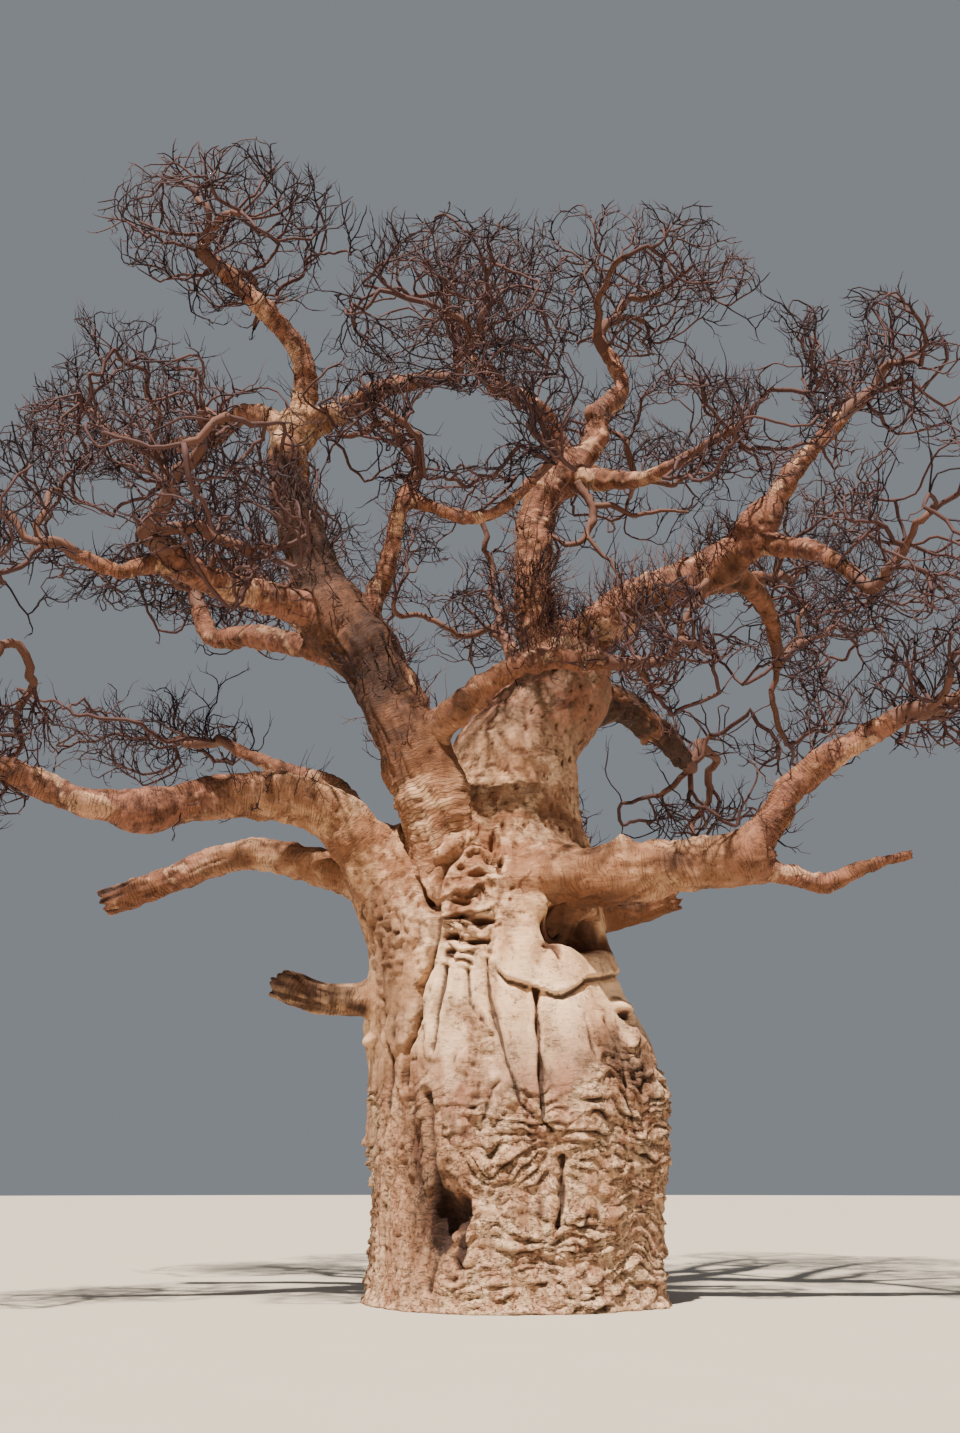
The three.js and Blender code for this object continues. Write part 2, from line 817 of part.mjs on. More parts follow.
// Lines of nodes from each fork to a tip: the thickest twig carries on, and the others start their own lines
function twigLines(nodes, radii) {
  const heirs = nodes.map(() => -1);
  for (let i = 1; i < nodes.length; i += 1) {
    const parent = nodes[i].from;
    if (heirs[parent] < 0 || radii[i] > radii[heirs[parent]]) heirs[parent] = i;
  }
  const lines = [];
  for (let i = 1; i < nodes.length; i += 1) {
    if (nodes[i].from > 0 && heirs[nodes[i].from] === i) continue;
    const line = [nodes[i].from, i];
    while (heirs[line[line.length - 1]] >= 0) line.push(heirs[line[line.length - 1]]);
    lines.push(line);
  }
  return lines;
}

function massSolid(mass, index) {
  const nodes = growTwigs(mass, index);
  const radii = twigRadii(nodes);
  let solid = null;
  for (const line of twigLines(nodes, radii)) {
    const points = line.map((node) => nodes[node].place);
    const girths = line.map((node) => radii[node]);
    girths[0] = girths[1];
    const twig = solidOf(tube(points, girths, TWIG_SIDES));
    solid = solid ? solid.add(twig) : twig;
  }
  nodes.slice(1).forEach((node, i) => {
    twigStretches.push({ start: nodes[node.from].place, end: node.place, radius: radii[i + 1] });
  });
  return solid;
}

function barkMaterial(kind) {
  return new THREE.MeshStandardMaterial({
    color: barkColours[kind],
    roughness: barkRoughness,
    metalness: 0,
    flatShading: true,
  });
}

const tree = new THREE.Group();

function addPiece(name, solid, kind) {
  const piece = new THREE.Mesh(geometryOf(solid), barkMaterial(kind));
  piece.name = name;
  tree.add(piece);
}

// Trunk
addPiece("trunk", solidOf(trunkGeometry(0)), "trunk");

// Boughs, each cut clear of the trunk and of the boughs before it
const cutters = [{ name: "trunk", solid: solidOf(trunkGeometry(TRUNK_CLEARANCE)) }];
for (const bough of BOUGHS) {
  let solid = solidOf(boughGeometry(bough, 0));
  for (const cutter of cutters) solid = solid.subtract(cutter.solid);
  addPiece(bough.name, largestPiece(solid), "bough");
  cutters.push({ name: bough.name, solid: solidOf(boughGeometry(bough, CLEARANCE)) });
}

// Masses of twigs, each cut clear of the bough that carries it
MASSES.forEach((mass, index) => {
  const bough = cutters.find((cutter) => cutter.name === mass.from);
  addPiece(mass.name, largestPiece(massSolid(mass, index).subtract(bough.solid)), "twigs");
});

export default tree;
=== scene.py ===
# A leafless baobab tree, dressed around its imported frame, in metres with +Z up.
# The photograph looks along +Y. Each new piece but the sprigs hides one node of the frame and keeps to its
# place.

import json
import math

import bpy
import numpy as np
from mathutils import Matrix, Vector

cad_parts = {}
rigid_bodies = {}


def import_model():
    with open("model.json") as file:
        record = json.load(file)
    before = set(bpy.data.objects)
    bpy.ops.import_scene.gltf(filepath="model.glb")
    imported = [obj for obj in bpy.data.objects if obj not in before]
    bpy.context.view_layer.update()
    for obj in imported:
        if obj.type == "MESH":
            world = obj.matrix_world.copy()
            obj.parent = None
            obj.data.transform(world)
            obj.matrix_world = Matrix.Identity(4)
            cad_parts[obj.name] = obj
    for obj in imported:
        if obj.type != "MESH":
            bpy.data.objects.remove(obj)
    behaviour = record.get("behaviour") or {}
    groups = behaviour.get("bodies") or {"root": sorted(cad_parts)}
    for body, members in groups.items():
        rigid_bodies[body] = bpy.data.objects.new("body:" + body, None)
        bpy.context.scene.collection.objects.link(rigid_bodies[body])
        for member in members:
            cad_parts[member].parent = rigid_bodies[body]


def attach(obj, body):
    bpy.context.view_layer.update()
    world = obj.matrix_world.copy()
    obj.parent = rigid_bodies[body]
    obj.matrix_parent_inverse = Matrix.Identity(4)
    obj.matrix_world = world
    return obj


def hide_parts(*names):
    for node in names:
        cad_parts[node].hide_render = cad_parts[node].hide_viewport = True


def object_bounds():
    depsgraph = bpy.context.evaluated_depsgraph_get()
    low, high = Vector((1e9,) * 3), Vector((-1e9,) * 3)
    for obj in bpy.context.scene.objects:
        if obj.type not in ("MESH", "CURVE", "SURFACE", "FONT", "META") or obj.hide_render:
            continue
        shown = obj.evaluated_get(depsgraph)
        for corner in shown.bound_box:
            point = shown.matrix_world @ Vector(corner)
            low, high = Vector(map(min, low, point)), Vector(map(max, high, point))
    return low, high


bl_info = {
    "name": "Leafless baobab tree",
    "version": (1, 0, 0),
    "blender": (4, 5, 0),
    "location": "3D View > Sidebar > Baobab",
    "description": "Trunk, boughs and bare twigs of a baobab tree, built around its packed frame",
    "category": "Object",
}

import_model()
cad_low, cad_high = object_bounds()

# The part's own tables, in metres. Trunk outline: height, middle x, middle y, half width, half depth
TRUNK_RINGS = [
    (0, 0, 0, 2.05, 1.97), (0.25, 0, 0, 1.98, 1.9), (1.35, 0.05, 0, 2.01, 1.92), (2.05, 0.08, 0, 2.08, 1.96),
    (2.7, 0.08, 0, 2.08, 1.96), (3.43, -0.04, 0, 1.98, 1.88), (4.16, -0.24, 0, 1.86, 1.78),
    (4.9, -0.37, 0, 1.81, 1.7), (5.5, -0.44, 0, 1.78, 1.62), (6.13, -0.32, 0.02, 1.62, 1.44),
    (6.9, -0.24, 0.05, 1.3, 1.22), (7.56, -0.02, 0.1, 1.06, 1.04), (8.21, 0.12, 0.14, 0.98, 0.94),
    (8.88, 0.53, 0.18, 0.86, 0.82), (9.4, 0.82, 0.2, 0.69, 0.68), (9.75, 0.88, 0.2, 0.43, 0.43),
]

# Folds of the trunk: bearing, or bearings at heights, then share of the radius, half width in degrees, and
# from and up to which height. Lumps: bearing, height, share, half width in degrees and half height
LEFT_SLANT = [(0.9, -146), (2.9, -143.5), (3.3, -141), (3.75, -130.5), (4.15, -126.5), (4.45, -119),
              (5.15, -112), (5.65, -121), (6.1, -125)]
FRONT_SLANT = [(1.3, -76), (2.35, -82), (3.2, -81), (4.1, -74), (4.7, -68)]
TRUNK_FOLDS = [
    (LEFT_SLANT, -0.08, 9, 0.9, 6.1),
    (FRONT_SLANT, -0.07, 7, 1.3, 4.7),
    (-66, 0.06, 13, 0.8, 6.2),
    (-112, 0.06, 14, 0, 6.8),
    (-20, 0.06, 16, 0, 5.2),
    (15, -0.08, 11, 0, 5),
    (48, 0.07, 16, 0, 6.4),
    (82, -0.09, 10, 0.3, 5.6),
    (112, 0.06, 15, 0, 6.6),
    (148, -0.08, 11, 0, 5),
    (178, 0.05, 14, 0, 4.8),
]
TRUNK_LUMPS = [
    (-121, 1.15, -0.1, 8, 0.48), (-75, 1.5, -0.05, 7, 0.45), (-98, 0.95, 0.05, 12, 0.65),
    (-52, 1.15, 0.05, 13, 0.6), (-44, 5.08, -0.13, 13, 0.26), (-42, 5.75, 0.07, 18, 0.42),
    (-100, 5.25, 0.05, 12, 0.7), (-150, 1.9, 0.05, 12, 0.7), (-138, 0.25, 0.06, 9, 0.35),
    (-66, 0.2, 0.06, 10, 0.35), (-28, 0.25, 0.05, 9, 0.35), (30, 3.4, -0.06, 9, 0.45),
    (62, 1.3, 0.06, 14, 0.6), (98, 2.1, -0.07, 9, 0.5), (130, 2.9, 0.06, 13, 0.6),
    (165, 1.2, -0.07, 9, 0.5),
]

# Boughs: name, bearer, radius at root and tip, collar, broken or not, and the bends of its line
BOUGHS = [
    ("left_leader", "trunk", 0.52, 0.44, 0.09, False,
     [(-0.9, -0.75, 5.8), (-1.15, -1.15, 6.6), (-1.5, -1.15, 7.75), (-2.05, -1, 9), (-2.7, -0.85, 9.95)]),
    ("left_upright", "left_leader", 0.4, 0.29, 0, False,
     [(-2.7, -0.85, 9.85), (-3.1, -0.8, 10.75), (-3.4, -0.8, 11.65),
      (-3.6, -0.8, 12.6), (-3.55, -0.7, 13.35)]),
    ("top_left_bough", "left_upright", 0.21, 0.14, 0, False,
     [(-3.55, -0.7, 13.25), (-3.4, -0.7, 14.1), (-3.55, -0.9, 14.8),
      (-4.1, -1.2, 15.35), (-4.7, -1.45, 15.85)]),
    ("top_middle_bough", "left_upright", 0.22, 0.12, 0, False,
     [(-3.55, -0.7, 13.25), (-2.85, -0.9, 13.55), (-2.05, -1.3, 13.75), (-1.3, -1.7, 13.7)]),
    ("high_left_arm", "left_upright", 0.19, 0.12, 0, False,
     [(-3.6, -0.7, 13.25), (-4, -0.6, 13.65), (-4.55, -0.3, 13.85), (-5.1, 0.2, 13.7), (-5.95, 0.7, 13.85)]),
    ("middle_left_arm", "left_leader", 0.27, 0.18, 0, False,
     [(-2.65, -0.85, 9.8), (-3.35, -1.2, 10), (-4.05, -1.7, 10), (-4.65, -2.1, 10.1), (-5, -2.5, 10.3)]),
    ("far_left_arm", "middle_left_arm", 0.15, 0.1, 0, False,
     [(-4.75, -2.2, 10.15), (-5.3, -2.5, 10.1), (-5.7, -2.7, 9.9), (-6.2, -2.9, 10.05)]),
    ("low_left_crook", "left_leader", 0.22, 0.14, 0, False,
     [(-2.6, -0.75, 9.35), (-3.45, -0.3, 9.75), (-4.25, 0.2, 10.05), (-4.95, 0.6, 10.2), (-5.25, 0.9, 10.8)]),
    ("slim_upright", "left_leader", 0.15, 0.13, 0, False,
     [(-2.2, -0.95, 9.25), (-2.15, -0.9, 10.15), (-1.95, -0.9, 10.8), (-1.8, -1, 11.55), (-1.65, -1.1, 12)]),
    ("slim_arm", "slim_upright", 0.12, 0.08, 0, False,
     [(-1.68, -1.08, 11.9), (-1.25, -1.3, 11.65), (-0.7, -1.5, 11.35),
      (-0.15, -1.7, 11.4), (0.3, -1.85, 11.8)]),
    ("crossing_arm", "left_leader", 0.25, 0.13, 0, False,
     [(-1.4, -1.2, 7.8), (-0.85, -1.7, 8.1), (-0.25, -1.9, 8.55), (0.4, -1.9, 8.85), (1.3, -1.85, 8.85)]),
    ("centre_bough", "trunk", 0.36, 0.27, 0.06, False,
     [(0.75, 0.1, 9.1), (0.55, 0.1, 9.85), (0.4, 0.1, 10.8),
      (0.4, 0.2, 11.6), (0.55, 0.3, 12.5), (1, 0.4, 13.2)]),
    ("centre_crown", "centre_bough", 0.22, 0.13, 0, False,
     [(0.98, 0.4, 13.1), (1.5, 0.5, 13.85), (1.65, 0.6, 14.45), (2.05, 0.8, 15.05), (1.85, 0.9, 15.8)]),
    ("centre_left_arm", "centre_bough", 0.18, 0.11, 0, False,
     [(1, 0.38, 13.15), (0.75, 0.1, 13.95), (0.35, -0.2, 14.2), (-0.25, -0.4, 14.4), (-0.7, -0.5, 14.95)]),
    ("centre_right_arm", "centre_bough", 0.18, 0.1, 0, False,
     [(0.95, 0.38, 13.1), (1.6, 0, 12.8), (2.15, -0.6, 12.5), (2.55, -1.1, 12.45)]),
    ("right_bough", "trunk", 0.4, 0.27, 0.06, False,
     [(0.9, 0.3, 9.15), (1.3, 0, 9.9), (2, -0.4, 10.35),
      (2.85, -0.8, 10.6), (3.5, -1.1, 10.95), (3.9, -1.3, 11.4)]),
    ("right_high_arm", "right_bough", 0.2, 0.13, 0, False,
     [(3.88, -1.29, 11.35), (4.25, -1.4, 11.9), (4.75, -1.4, 12.55), (5.25, -1.45, 13.15)]),
    ("right_far_arm", "right_bough", 0.18, 0.11, 0, False,
     [(3.7, -1.2, 11.1), (4.25, -1.7, 10.75), (4.6, -2.2, 10.4), (4.9, -2.6, 9.9)]),
    ("right_hanging_arm", "right_bough", 0.2, 0.11, 0, False,
     [(3.25, -1, 10.8), (3.85, -0.3, 10.75), (4.3, 0.4, 10.55), (4.5, 0.9, 10.25)]),
    ("back_right_bough", "trunk", 0.34, 0.15, 0.06, False,
     [(1, 0.3, 8.8), (1.85, 1.3, 9.25), (2.45, 2.2, 9.2), (2.95, 3.1, 9.1), (3.3, 3.9, 9.05)]),
    ("low_right_inner", "trunk", 0.5, 0.31, 0.12, False,
     [(0.1, -0.9, 5.25), (0.95, -1.3, 5.6), (1.8, -1.4, 5.8), (2.55, -1.5, 5.85), (3.25, -1.6, 5.95)]),
    ("low_right_outer", "low_right_inner", 0.26, 0.16, 0, False,
     [(3.1, -1.58, 5.93), (3.6, -1.7, 6.35), (4, -1.9, 6.95), (4.75, -2.1, 7.45), (5.3, -2.3, 7.75)]),
    ("low_right_broken", "low_right_inner", 0.2, 0.06, 0, True,
     [(3.1, -1.6, 5.9), (3.9, -1.6, 5.7), (4.4, -1.6, 5.6), (4.9, -1.6, 5.8), (5.6, -1.6, 6)]),
    ("low_right_stub", "trunk", 0.31, 0.14, 0.08, True,
     [(0.7, 0.2, 5.6), (1.5, 0.3, 5.5), (2.05, 0.3, 5.55), (2.5, 0.3, 5.7)]),
    ("low_left_inner", "trunk", 0.5, 0.26, 0.14, False,
     [(-1.25, 0, 5.6), (-2.1, -0.4, 6.2), (-2.75, -0.6, 6.85),
      (-3.6, -0.9, 7.05), (-4.6, -1.3, 6.85), (-5.35, -1.7, 6.6)]),
    ("low_left_outer", "low_left_inner", 0.25, 0.16, 0, False,
     [(-5.2, -1.62, 6.64), (-6, -2, 6.65), (-6.6, -2.2, 6.85), (-7.1, -2.4, 7.05)]),
    ("low_left_broken", "trunk", 0.3, 0.2, 0.08, True,
     [(-1.9, 0.1, 5.9), (-3.15, 0.4, 6.3), (-3.95, 0.6, 6.5),
      (-4.7, 0.8, 6.45), (-5.5, 0.9, 6.15), (-6.4, 1, 5.85)]),
    ("low_left_riser", "low_left_inner", 0.17, 0.1, 0, False,
     [(-2.15, -0.1, 6.3), (-2.55, 0.9, 7.4), (-3, 1.2, 7.85), (-3.9, 1.7, 8.25), (-4.7, 2.1, 8.7)]),
    ("left_stub", "trunk", 0.25, 0.17, 0.06, True,
     [(-1.65, -0.2, 4.15), (-2.35, -0.3, 4.1), (-2.85, -0.3, 4.15), (-3.4, -0.3, 4.35)]),
    ("back_left_bough", "left_leader", 0.27, 0.14, 0, False,
     [(-2.25, -0.9, 9.15), (-2.6, 0.4, 9.9), (-3.3, 2, 10.7), (-3.9, 3.2, 11.6), (-4.4, 4, 12.3)]),
    ("back_bough", "trunk", 0.36, 0.15, 0.06, False,
     [(0.7, 0.4, 8.6), (0.72, 1.6, 9.3), (0.56, 2.9, 10), (0.35, 4, 10.75), (0.1, 4.7, 11.6)]),
    ("back_high_bough", "centre_bough", 0.2, 0.13, 0, False,
     [(0.95, 0.42, 12.95), (1.25, 1.5, 13.8), (1.75, 2.6, 14.3), (2.3, 3.5, 14.7)]),
    ("right_back_arm", "right_bough", 0.22, 0.13, 0, False,
     [(2.8, -0.8, 10.6), (3.4, 0.6, 11.2), (4.1, 2, 11.8), (4.7, 2.9, 12.3)]),
    ("back_low_bough", "trunk", 0.42, 0.16, 0.12, False,
     [(0.3, 0.7, 5.8), (0.35, 2.4, 6.4), (0.2, 3.7, 6.7), (0.3, 4.6, 7.1)]),
]

# Masses of twigs: name, bough, middle and half sizes of the ellipsoid
MASSES = [
    ("top_left_twigs", "top_left_bough", (-4.55, -2, 16.6), (2.6, 2.4, 1.9)),
    ("top_middle_twigs", "top_middle_bough", (-0.9, -3.2, 13.65), (2, 2.1, 1.4)),
    ("high_left_twigs", "high_left_arm", (-7.35, 0.8, 14.75), (2.4, 2.6, 1.9)),
    ("middle_left_twigs", "middle_left_arm", (-4.4, -3.6, 10.9), (1.9, 2.2, 1.7)),
    ("far_left_twigs", "far_left_arm", (-7.15, -3.2, 10.7), (2, 2.1, 1.7)),
    ("low_left_twigs", "low_left_crook", (-5.95, 1.9, 11.6), (2.2, 2.2, 1.4)),
    ("slim_upright_twigs", "slim_upright", (-2, -1.6, 12.85), (1.3, 1.6, 1.4)),
    ("slim_arm_twigs", "slim_arm", (-0.2, -3.5, 11.9), (1.3, 1.7, 1.1)),
    ("crossing_arm_twigs", "crossing_arm", (2.25, -2.3, 8.9), (1.1, 1.5, 1)),
    ("centre_crown_twigs", "centre_crown", (2.65, 0.8, 17.3), (2.5, 2.2, 1.6)),
    ("centre_left_twigs", "centre_left_arm", (-0.9, -0.2, 16.6), (2.05, 1.9, 1.85)),
    ("centre_right_twigs", "centre_right_arm", (3.7, -2.4, 12.8), (1.8, 2.2, 1.6)),
    ("right_high_twigs", "right_high_arm", (6, -1.6, 14), (2.1, 2.3, 1.5)),
    ("right_far_twigs", "right_far_arm", (5.65, -3.4, 9.85), (1.7, 2.2, 1.8)),
    ("right_hanging_twigs", "right_hanging_arm", (5.1, 1.9, 10.05), (1.7, 2, 1.6)),
    ("back_right_twigs", "back_right_bough", (3.6, 5, 9.1), (1.8, 2.2, 1.6)),
    ("low_right_twigs", "low_right_outer", (6.35, -2.6, 8.4), (1.8, 2.2, 1.5)),
    ("outer_left_twigs", "low_left_outer", (-7.85, -2.6, 7.45), (1.7, 2.2, 1.6)),
    ("low_riser_twigs", "low_left_riser", (-6.5, 3, 9.65), (2.4, 2.2, 1.3)),
    ("back_left_twigs", "back_left_bough", (-4.9, 5, 13.6), (2.5, 2.5, 2)),
    ("back_twigs", "back_bough", (-0.8, 5.3, 13.5), (2.4, 2.2, 2.3)),
    ("back_high_twigs", "back_high_bough", (3, 4.6, 15.9), (2.3, 2.3, 1.8)),
    ("right_back_twigs", "right_back_arm", (5.7, 3.8, 13), (2.3, 2.4, 1.9)),
    ("back_low_twigs", "back_low_bough", (0.4, 5.6, 8.1), (1.6, 1.6, 1.3)),
]

# How far a collar and a fold take to fade, and how close the places on a limb's line stand
COLLAR_LENGTH = 0.45
FOLD_FADE = 0.7
LINE_SPACING = 0.16

# Width of a limb's fillet as a share of its girth, where that isn't the common one, and the height below
# which a limb's fillet with the trunk is narrow, and how narrow
COMMON_FILLET = 1.15
FILLETS = {"left_leader": 0.42, "low_right_stub": 0.6, "left_stub": 0.6}
NARROW_BELOW = {"low_right_inner": 5.42}
NARROWED = 0.25

# Rounds in which a surface is drawn into its fillets, and how much farther than their width it is looked at
SETTLE_ROUNDS = 3
NEAR = 0.3

# Grooves of the trunk: (bearing, height) along each, then depth, width and the lip beside it
GROOVES = [
    ([(-74, 4.1), (-78, 3.65), (-81, 3.2), (-82.5, 2.75), (-82.5, 2.35), (-79.5, 2.25)], 0.12, 0.03, 0.035),
    ([(-92.5, 4.5), (-94.5, 4), (-95, 3.55), (-94, 3.1), (-91, 2.6), (-83, 2.3)], 0.08, 0.03, 0.025),
    ([(-110, 4.4), (-113, 4.1), (-118.5, 3.75), (-122.5, 3.3)], 0.08, 0.045, 0.05),
    ([(-143, 6.55), (-128, 6.05), (-121.5, 5.6), (-111, 5.15), (-114, 4.85), (-119, 4.45), (-126.5, 4.15),
      (-130.5, 3.75), (-141, 3.3), (-143.5, 2.9)], 0.13, 0.055, 0.06),
    ([(-76.5, 6.15), (-76, 5.5), (-74.5, 5.3), (-68, 5.1), (-66.5, 4.75), (-71, 4.45)], 0.035, 0.08, 0.02),
    ([(-127, 2.7), (-126, 2.1), (-124, 1.6), (-123, 1.05), (-124, 0.3)], 0.08, 0.06, 0.04),
    ([(-75.5, 1.9), (-74.5, 1.3), (-76, 1.05)], 0.12, 0.035, 0.03),
    ([(-104, 2.4), (-101, 2.75), (-98, 2.85)], 0.05, 0.03, 0.03),
    ([(-107, 6.45), (-104.5, 6.1), (-108.5, 5.85), (-110, 5.55), (-111, 5.3)], 0.12, 0.05, 0.02),
    ([(-85, 6.5), (-81, 5.85), (-81.5, 5.45), (-86, 5.1), (-91, 4.6)], 0.05, 0.05, 0.03),
    ([(-101, 4.35), (-103, 3.9), (-100, 3.6), (-104, 3.3)], 0.035, 0.025, 0.02),
    ([(-150, 4.9), (-153, 4.1), (-151, 3.2), (-156, 2.2)], 0.05, 0.05, 0.03),
    ([(-46, 3.7), (-44, 3.2), (-47, 2.7), (-43, 2.2)], 0.05, 0.04, 0.03),
    ([(-58, 3.75), (-60, 3.3), (-57, 2.95)], 0.04, 0.025, 0.02),
    ([(16, 4.8), (12, 3.5), (15, 2), (11, 0.5)], 0.12, 0.07, 0.05),
    ([(50, 3.9), (54, 2.8), (51, 1.6)], 0.08, 0.05, 0.04),
    ([(84, 5.4), (79, 4), (85, 2.5), (80, 0.8)], 0.12, 0.07, 0.06),
    ([(118, 4.6), (114, 3.5), (119, 2.2)], 0.09, 0.05, 0.04),
    ([(149, 4.8), (145, 3.6), (151, 2.2), (147, 0.6)], 0.12, 0.07, 0.05),
    ([(176, 3.7), (-179, 2.9), (178, 1.9)], 0.08, 0.05, 0.04),
]

# The hanging lip across the front: bearing and height along it
SWAG = [(-91, 4.42), (-88.5, 4.35), (-86, 4.24), (-80, 4.2), (-73.5, 4.13), (-68, 4.05), (-65, 4.05),
        (-57, 4.16), (-47.5, 4.32), (-40, 4.36), (-28, 4.45), (-14, 4.5), (-2, 4.5)]

# The left leader's ringed foot, that runs down the trunk like a finger, and half its width
FINGER = [(-132, 6.95), (-116, 6.4), (-111, 6.2)]
FINGER_WIDTH = 0.3

# The gnarled column between finger and right shoulder: heights, bearings of its middle, and half its width
COLUMN_HEIGHTS = (4.2, 4.7, 5.1, 5.65, 6.4, 6.9)
COLUMN_BEARINGS = (-104, -101, -98, -95, -93, -92)
COLUMN_WIDTHS = (5, 10, 12.5, 13, 10, 6)

# Hollows (negative) and knobs of the trunk: bearing, height, half width and half height in metres, depth.
# Each hollow is also painted dark as shade; the shallow one at bearing -14, under the low right limb, is
# mostly that painted shade
DENTS = [
    (-45, 5.04, 0.62, 0.3, -0.45), (-24, 5.05, 0.3, 0.24, -0.2), (-62, 4.88, 0.14, 0.26, -0.14),
    (-121, 1.1, 0.17, 0.34, -0.17), (-113, 1.2, 0.16, 0.22, -0.18),
    (-111.5, 0.78, 0.08, 0.24, -0.1), (-117, 5.4, 0.09, 0.13, -0.12),
    (-90, 6.25, 0.06, 0.16, -0.16), (-84, 5.85, 0.05, 0.14, -0.14), (-87, 6.05, 0.05, 0.2, -0.1),
    (-94, 5.72, 0.17, 0.05, -0.13), (-100, 5.3, 0.16, 0.045, -0.13), (-91, 5.05, 0.17, 0.045, -0.13),
    (-107, 4.82, 0.12, 0.055, -0.13), (-102, 5.08, 0.13, 0.045, -0.11), (-95, 4.74, 0.17, 0.045, -0.12),
    (-98, 5.52, 0.14, 0.045, 0.07), (-96, 5.17, 0.2, 0.05, 0.07), (-100, 4.93, 0.2, 0.05, 0.06),
    (-108, 4.6, 0.09, 0.06, -0.09), (-62, 4.6, 0.04, 0.1, -0.07), (-66, 4.7, 0.08, 0.03, -0.05),
    (-14, 4.75, 0.3, 0.32, -0.05), (-31, 3.85, 0.1, 0.05, -0.07),
    (-30, 3.95, 0.16, 0.09, 0.16), (-167.5, 3.55, 0.15, 0.09, 0.12), (-66, 2.75, 0.18, 0.07, 0.04),
    (62, 1.3, 0.3, 0.3, 0.06), (98, 2.1, 0.14, 0.2, -0.08), (30, 3.4, 0.1, 0.14, -0.08),
    (165, 1.2, 0.14, 0.2, -0.08),
]

# Pale and dark marks of the trunk: share, then bearing, height, half width in degrees and half height. Then
# how deep the small pits high up are, which are also painted dark as shade
PALE_MARKS = [(0.8, -115, 3, 7, 0.5), (0.7, -98.5, 3, 4, 0.4), (0.6, -25, 1.2, 25, 0.9),
              (0.5, -60, 1.6, 10, 0.7)]
# The dark mark at bearing -146 on the left column is browner bark and also painted shade from the low left
# bough
DARK_MARKS = [(0.8, -124, 1.2, 12, 0.9), (0.85, -146, 4.6, 20, 1.6), (0.5, -97, 5.4, 11, 0.9),
              (0.5, -136, 2.2, 9, 0.8), (0.5, 100, 1.5, 20, 1.2), (0.4, -140, 1.4, 22, 1.4)]
PIT_DEPTH = 0.025

# The radius that bearings on the trunk are unrolled on, to measure along its bark
TRUNK_RADIUS = 2

# How high the wrinkled, greyer skin reaches round the trunk
WRINKLE_BEARINGS = (-180, -150, -142, -126, -114, -103, -91, -83, -75, -66, -55, -38, -15, 20, 70, 120, 180)
WRINKLE_TOPS = (2.7, 3, 2.9, 2.9, 2.45, 2.5, 2.6, 2.3, 2.6, 2.9, 3.3, 3.6, 3.4, 2.6, 3.2, 2.5, 2.7)

# Growth of the twigs: the part's rule, and how it is carried on to finer twigs
SEED = 7411
SEED_STRIDE = 977
TARGETS = 12
STRIDE = 0.78
REACH = 1.5
SWAY = 0.28
MOMENTUM = 0.5
SHARPEST_TURN = -0.2
MOST_ROUNDS = 40
FIRST_STRIDE = 0.6
CROWDED = 0.4
BALANCED_PULL = 0.3
GIRTH_POWER = 2.2
LIMB_ROOM = 0.11
TWIG_ROOM = 0.11
TIP_RADIUS = 0.03
SPACE_MARGIN = 0.03
STEM_SINK = 0.06
BOUGH_STEPS = 6
GOLDEN_ANGLE = math.pi * (3 - math.sqrt(5))
UP = np.array((0.0, 0.0, 1.0))
HEART = np.array((-0.3, 0.0, 8.0))

# Finer twigs: spacing of the nodes that they start from, targets in the space, stride, how far a node sees,
# how near a target is reached, keeping to the way it was going, rising, reaching away from the heart of the
# tree, straying, and how far it may turn from its bearer's way as its heir or at its side, as cosines
FINER = [
    {"spacing": 0.3, "targets": 190, "stride": 0.33, "sight": 1.7, "reached": 0.32, "momentum": 0.45,
     "lift": 0.12, "away": 0.35, "sway": 0.55, "turn": 0.25, "side_turn": 0.0},
    {"spacing": 0.13, "targets": 1350, "stride": 0.12, "sight": 0.9, "reached": 0.15, "momentum": 0.5,
     "lift": 0.22, "away": 0.3, "sway": 0.5, "turn": 0.35, "side_turn": 0.05},
]
MOST_FINE_ROUNDS = 80
MOST_AT_A_NODE = 3
TWIG_SLACK = 0.35

# Room between limbs and finer twigs, how far out targets and nodes stand as shares of their mass's ellipsoid,
# and the share of each open patch of sky that targets, nodes and shoots keep out of
FINE_LIMB_ROOM = 0.08
TARGET_EDGE, NODE_EDGE = 1.1, 1.08
TARGET_SKY, NODE_SKY, SHOOT_SKY = 1.0, 0.5, 0.38

# The view from where the photograph was taken: the place, how far it looks up, and its scale and middle in a
# picture 960 wide and 1433 high. In that picture: open patches of sky (middle and half sizes), and the
# crown's top
STATION = (-0.49, -21.0, 1.6)
PITCH = math.radians(18.45)
VIEW_SCALE = 1393.0
VIEW_MIDDLE = (480.0, 716.5)
SKIES = [
    (460, 432, 60, 32), (355, 475, 36, 42), (615, 540, 52, 30), (475, 540, 42, 22), (735, 345, 55, 35),
    (785, 380, 28, 24), (680, 418, 42, 20), (125, 300, 62, 20), (400, 300, 38, 26), (90, 660, 140, 52),
    (265, 702, 75, 26), (735, 705, 62, 50), (625, 770, 34, 55), (925, 508, 50, 62), (690, 775, 70, 30),
    (385, 745, 22, 45), (780, 422, 24, 22), (850, 665, 34, 22), (20, 860, 60, 26), (880, 800, 90, 40),
    (120, 500, 50, 14), (655, 495, 50, 18), (85, 536, 60, 16), (25, 585, 50, 20), (440, 582, 42, 16),
    (735, 622, 32, 20), (945, 385, 30, 30), (835, 335, 24, 26), (420, 622, 36, 16), (280, 262, 20, 18),
]
CROWN_EDGE = [
    (0, 415), (35, 370), (72, 330), (80, 205), (125, 158), (180, 132), (250, 114), (310, 145), (370, 194),
    (430, 202), (500, 196), (560, 182), (700, 190), (745, 230), (775, 270), (820, 290), (850, 272),
    (900, 268), (940, 305), (960, 335),
]
EDGE_ROOM, EDGE_RAGGED = 16, 26
FACING = 0.7
BOX_ROOM = 0.12


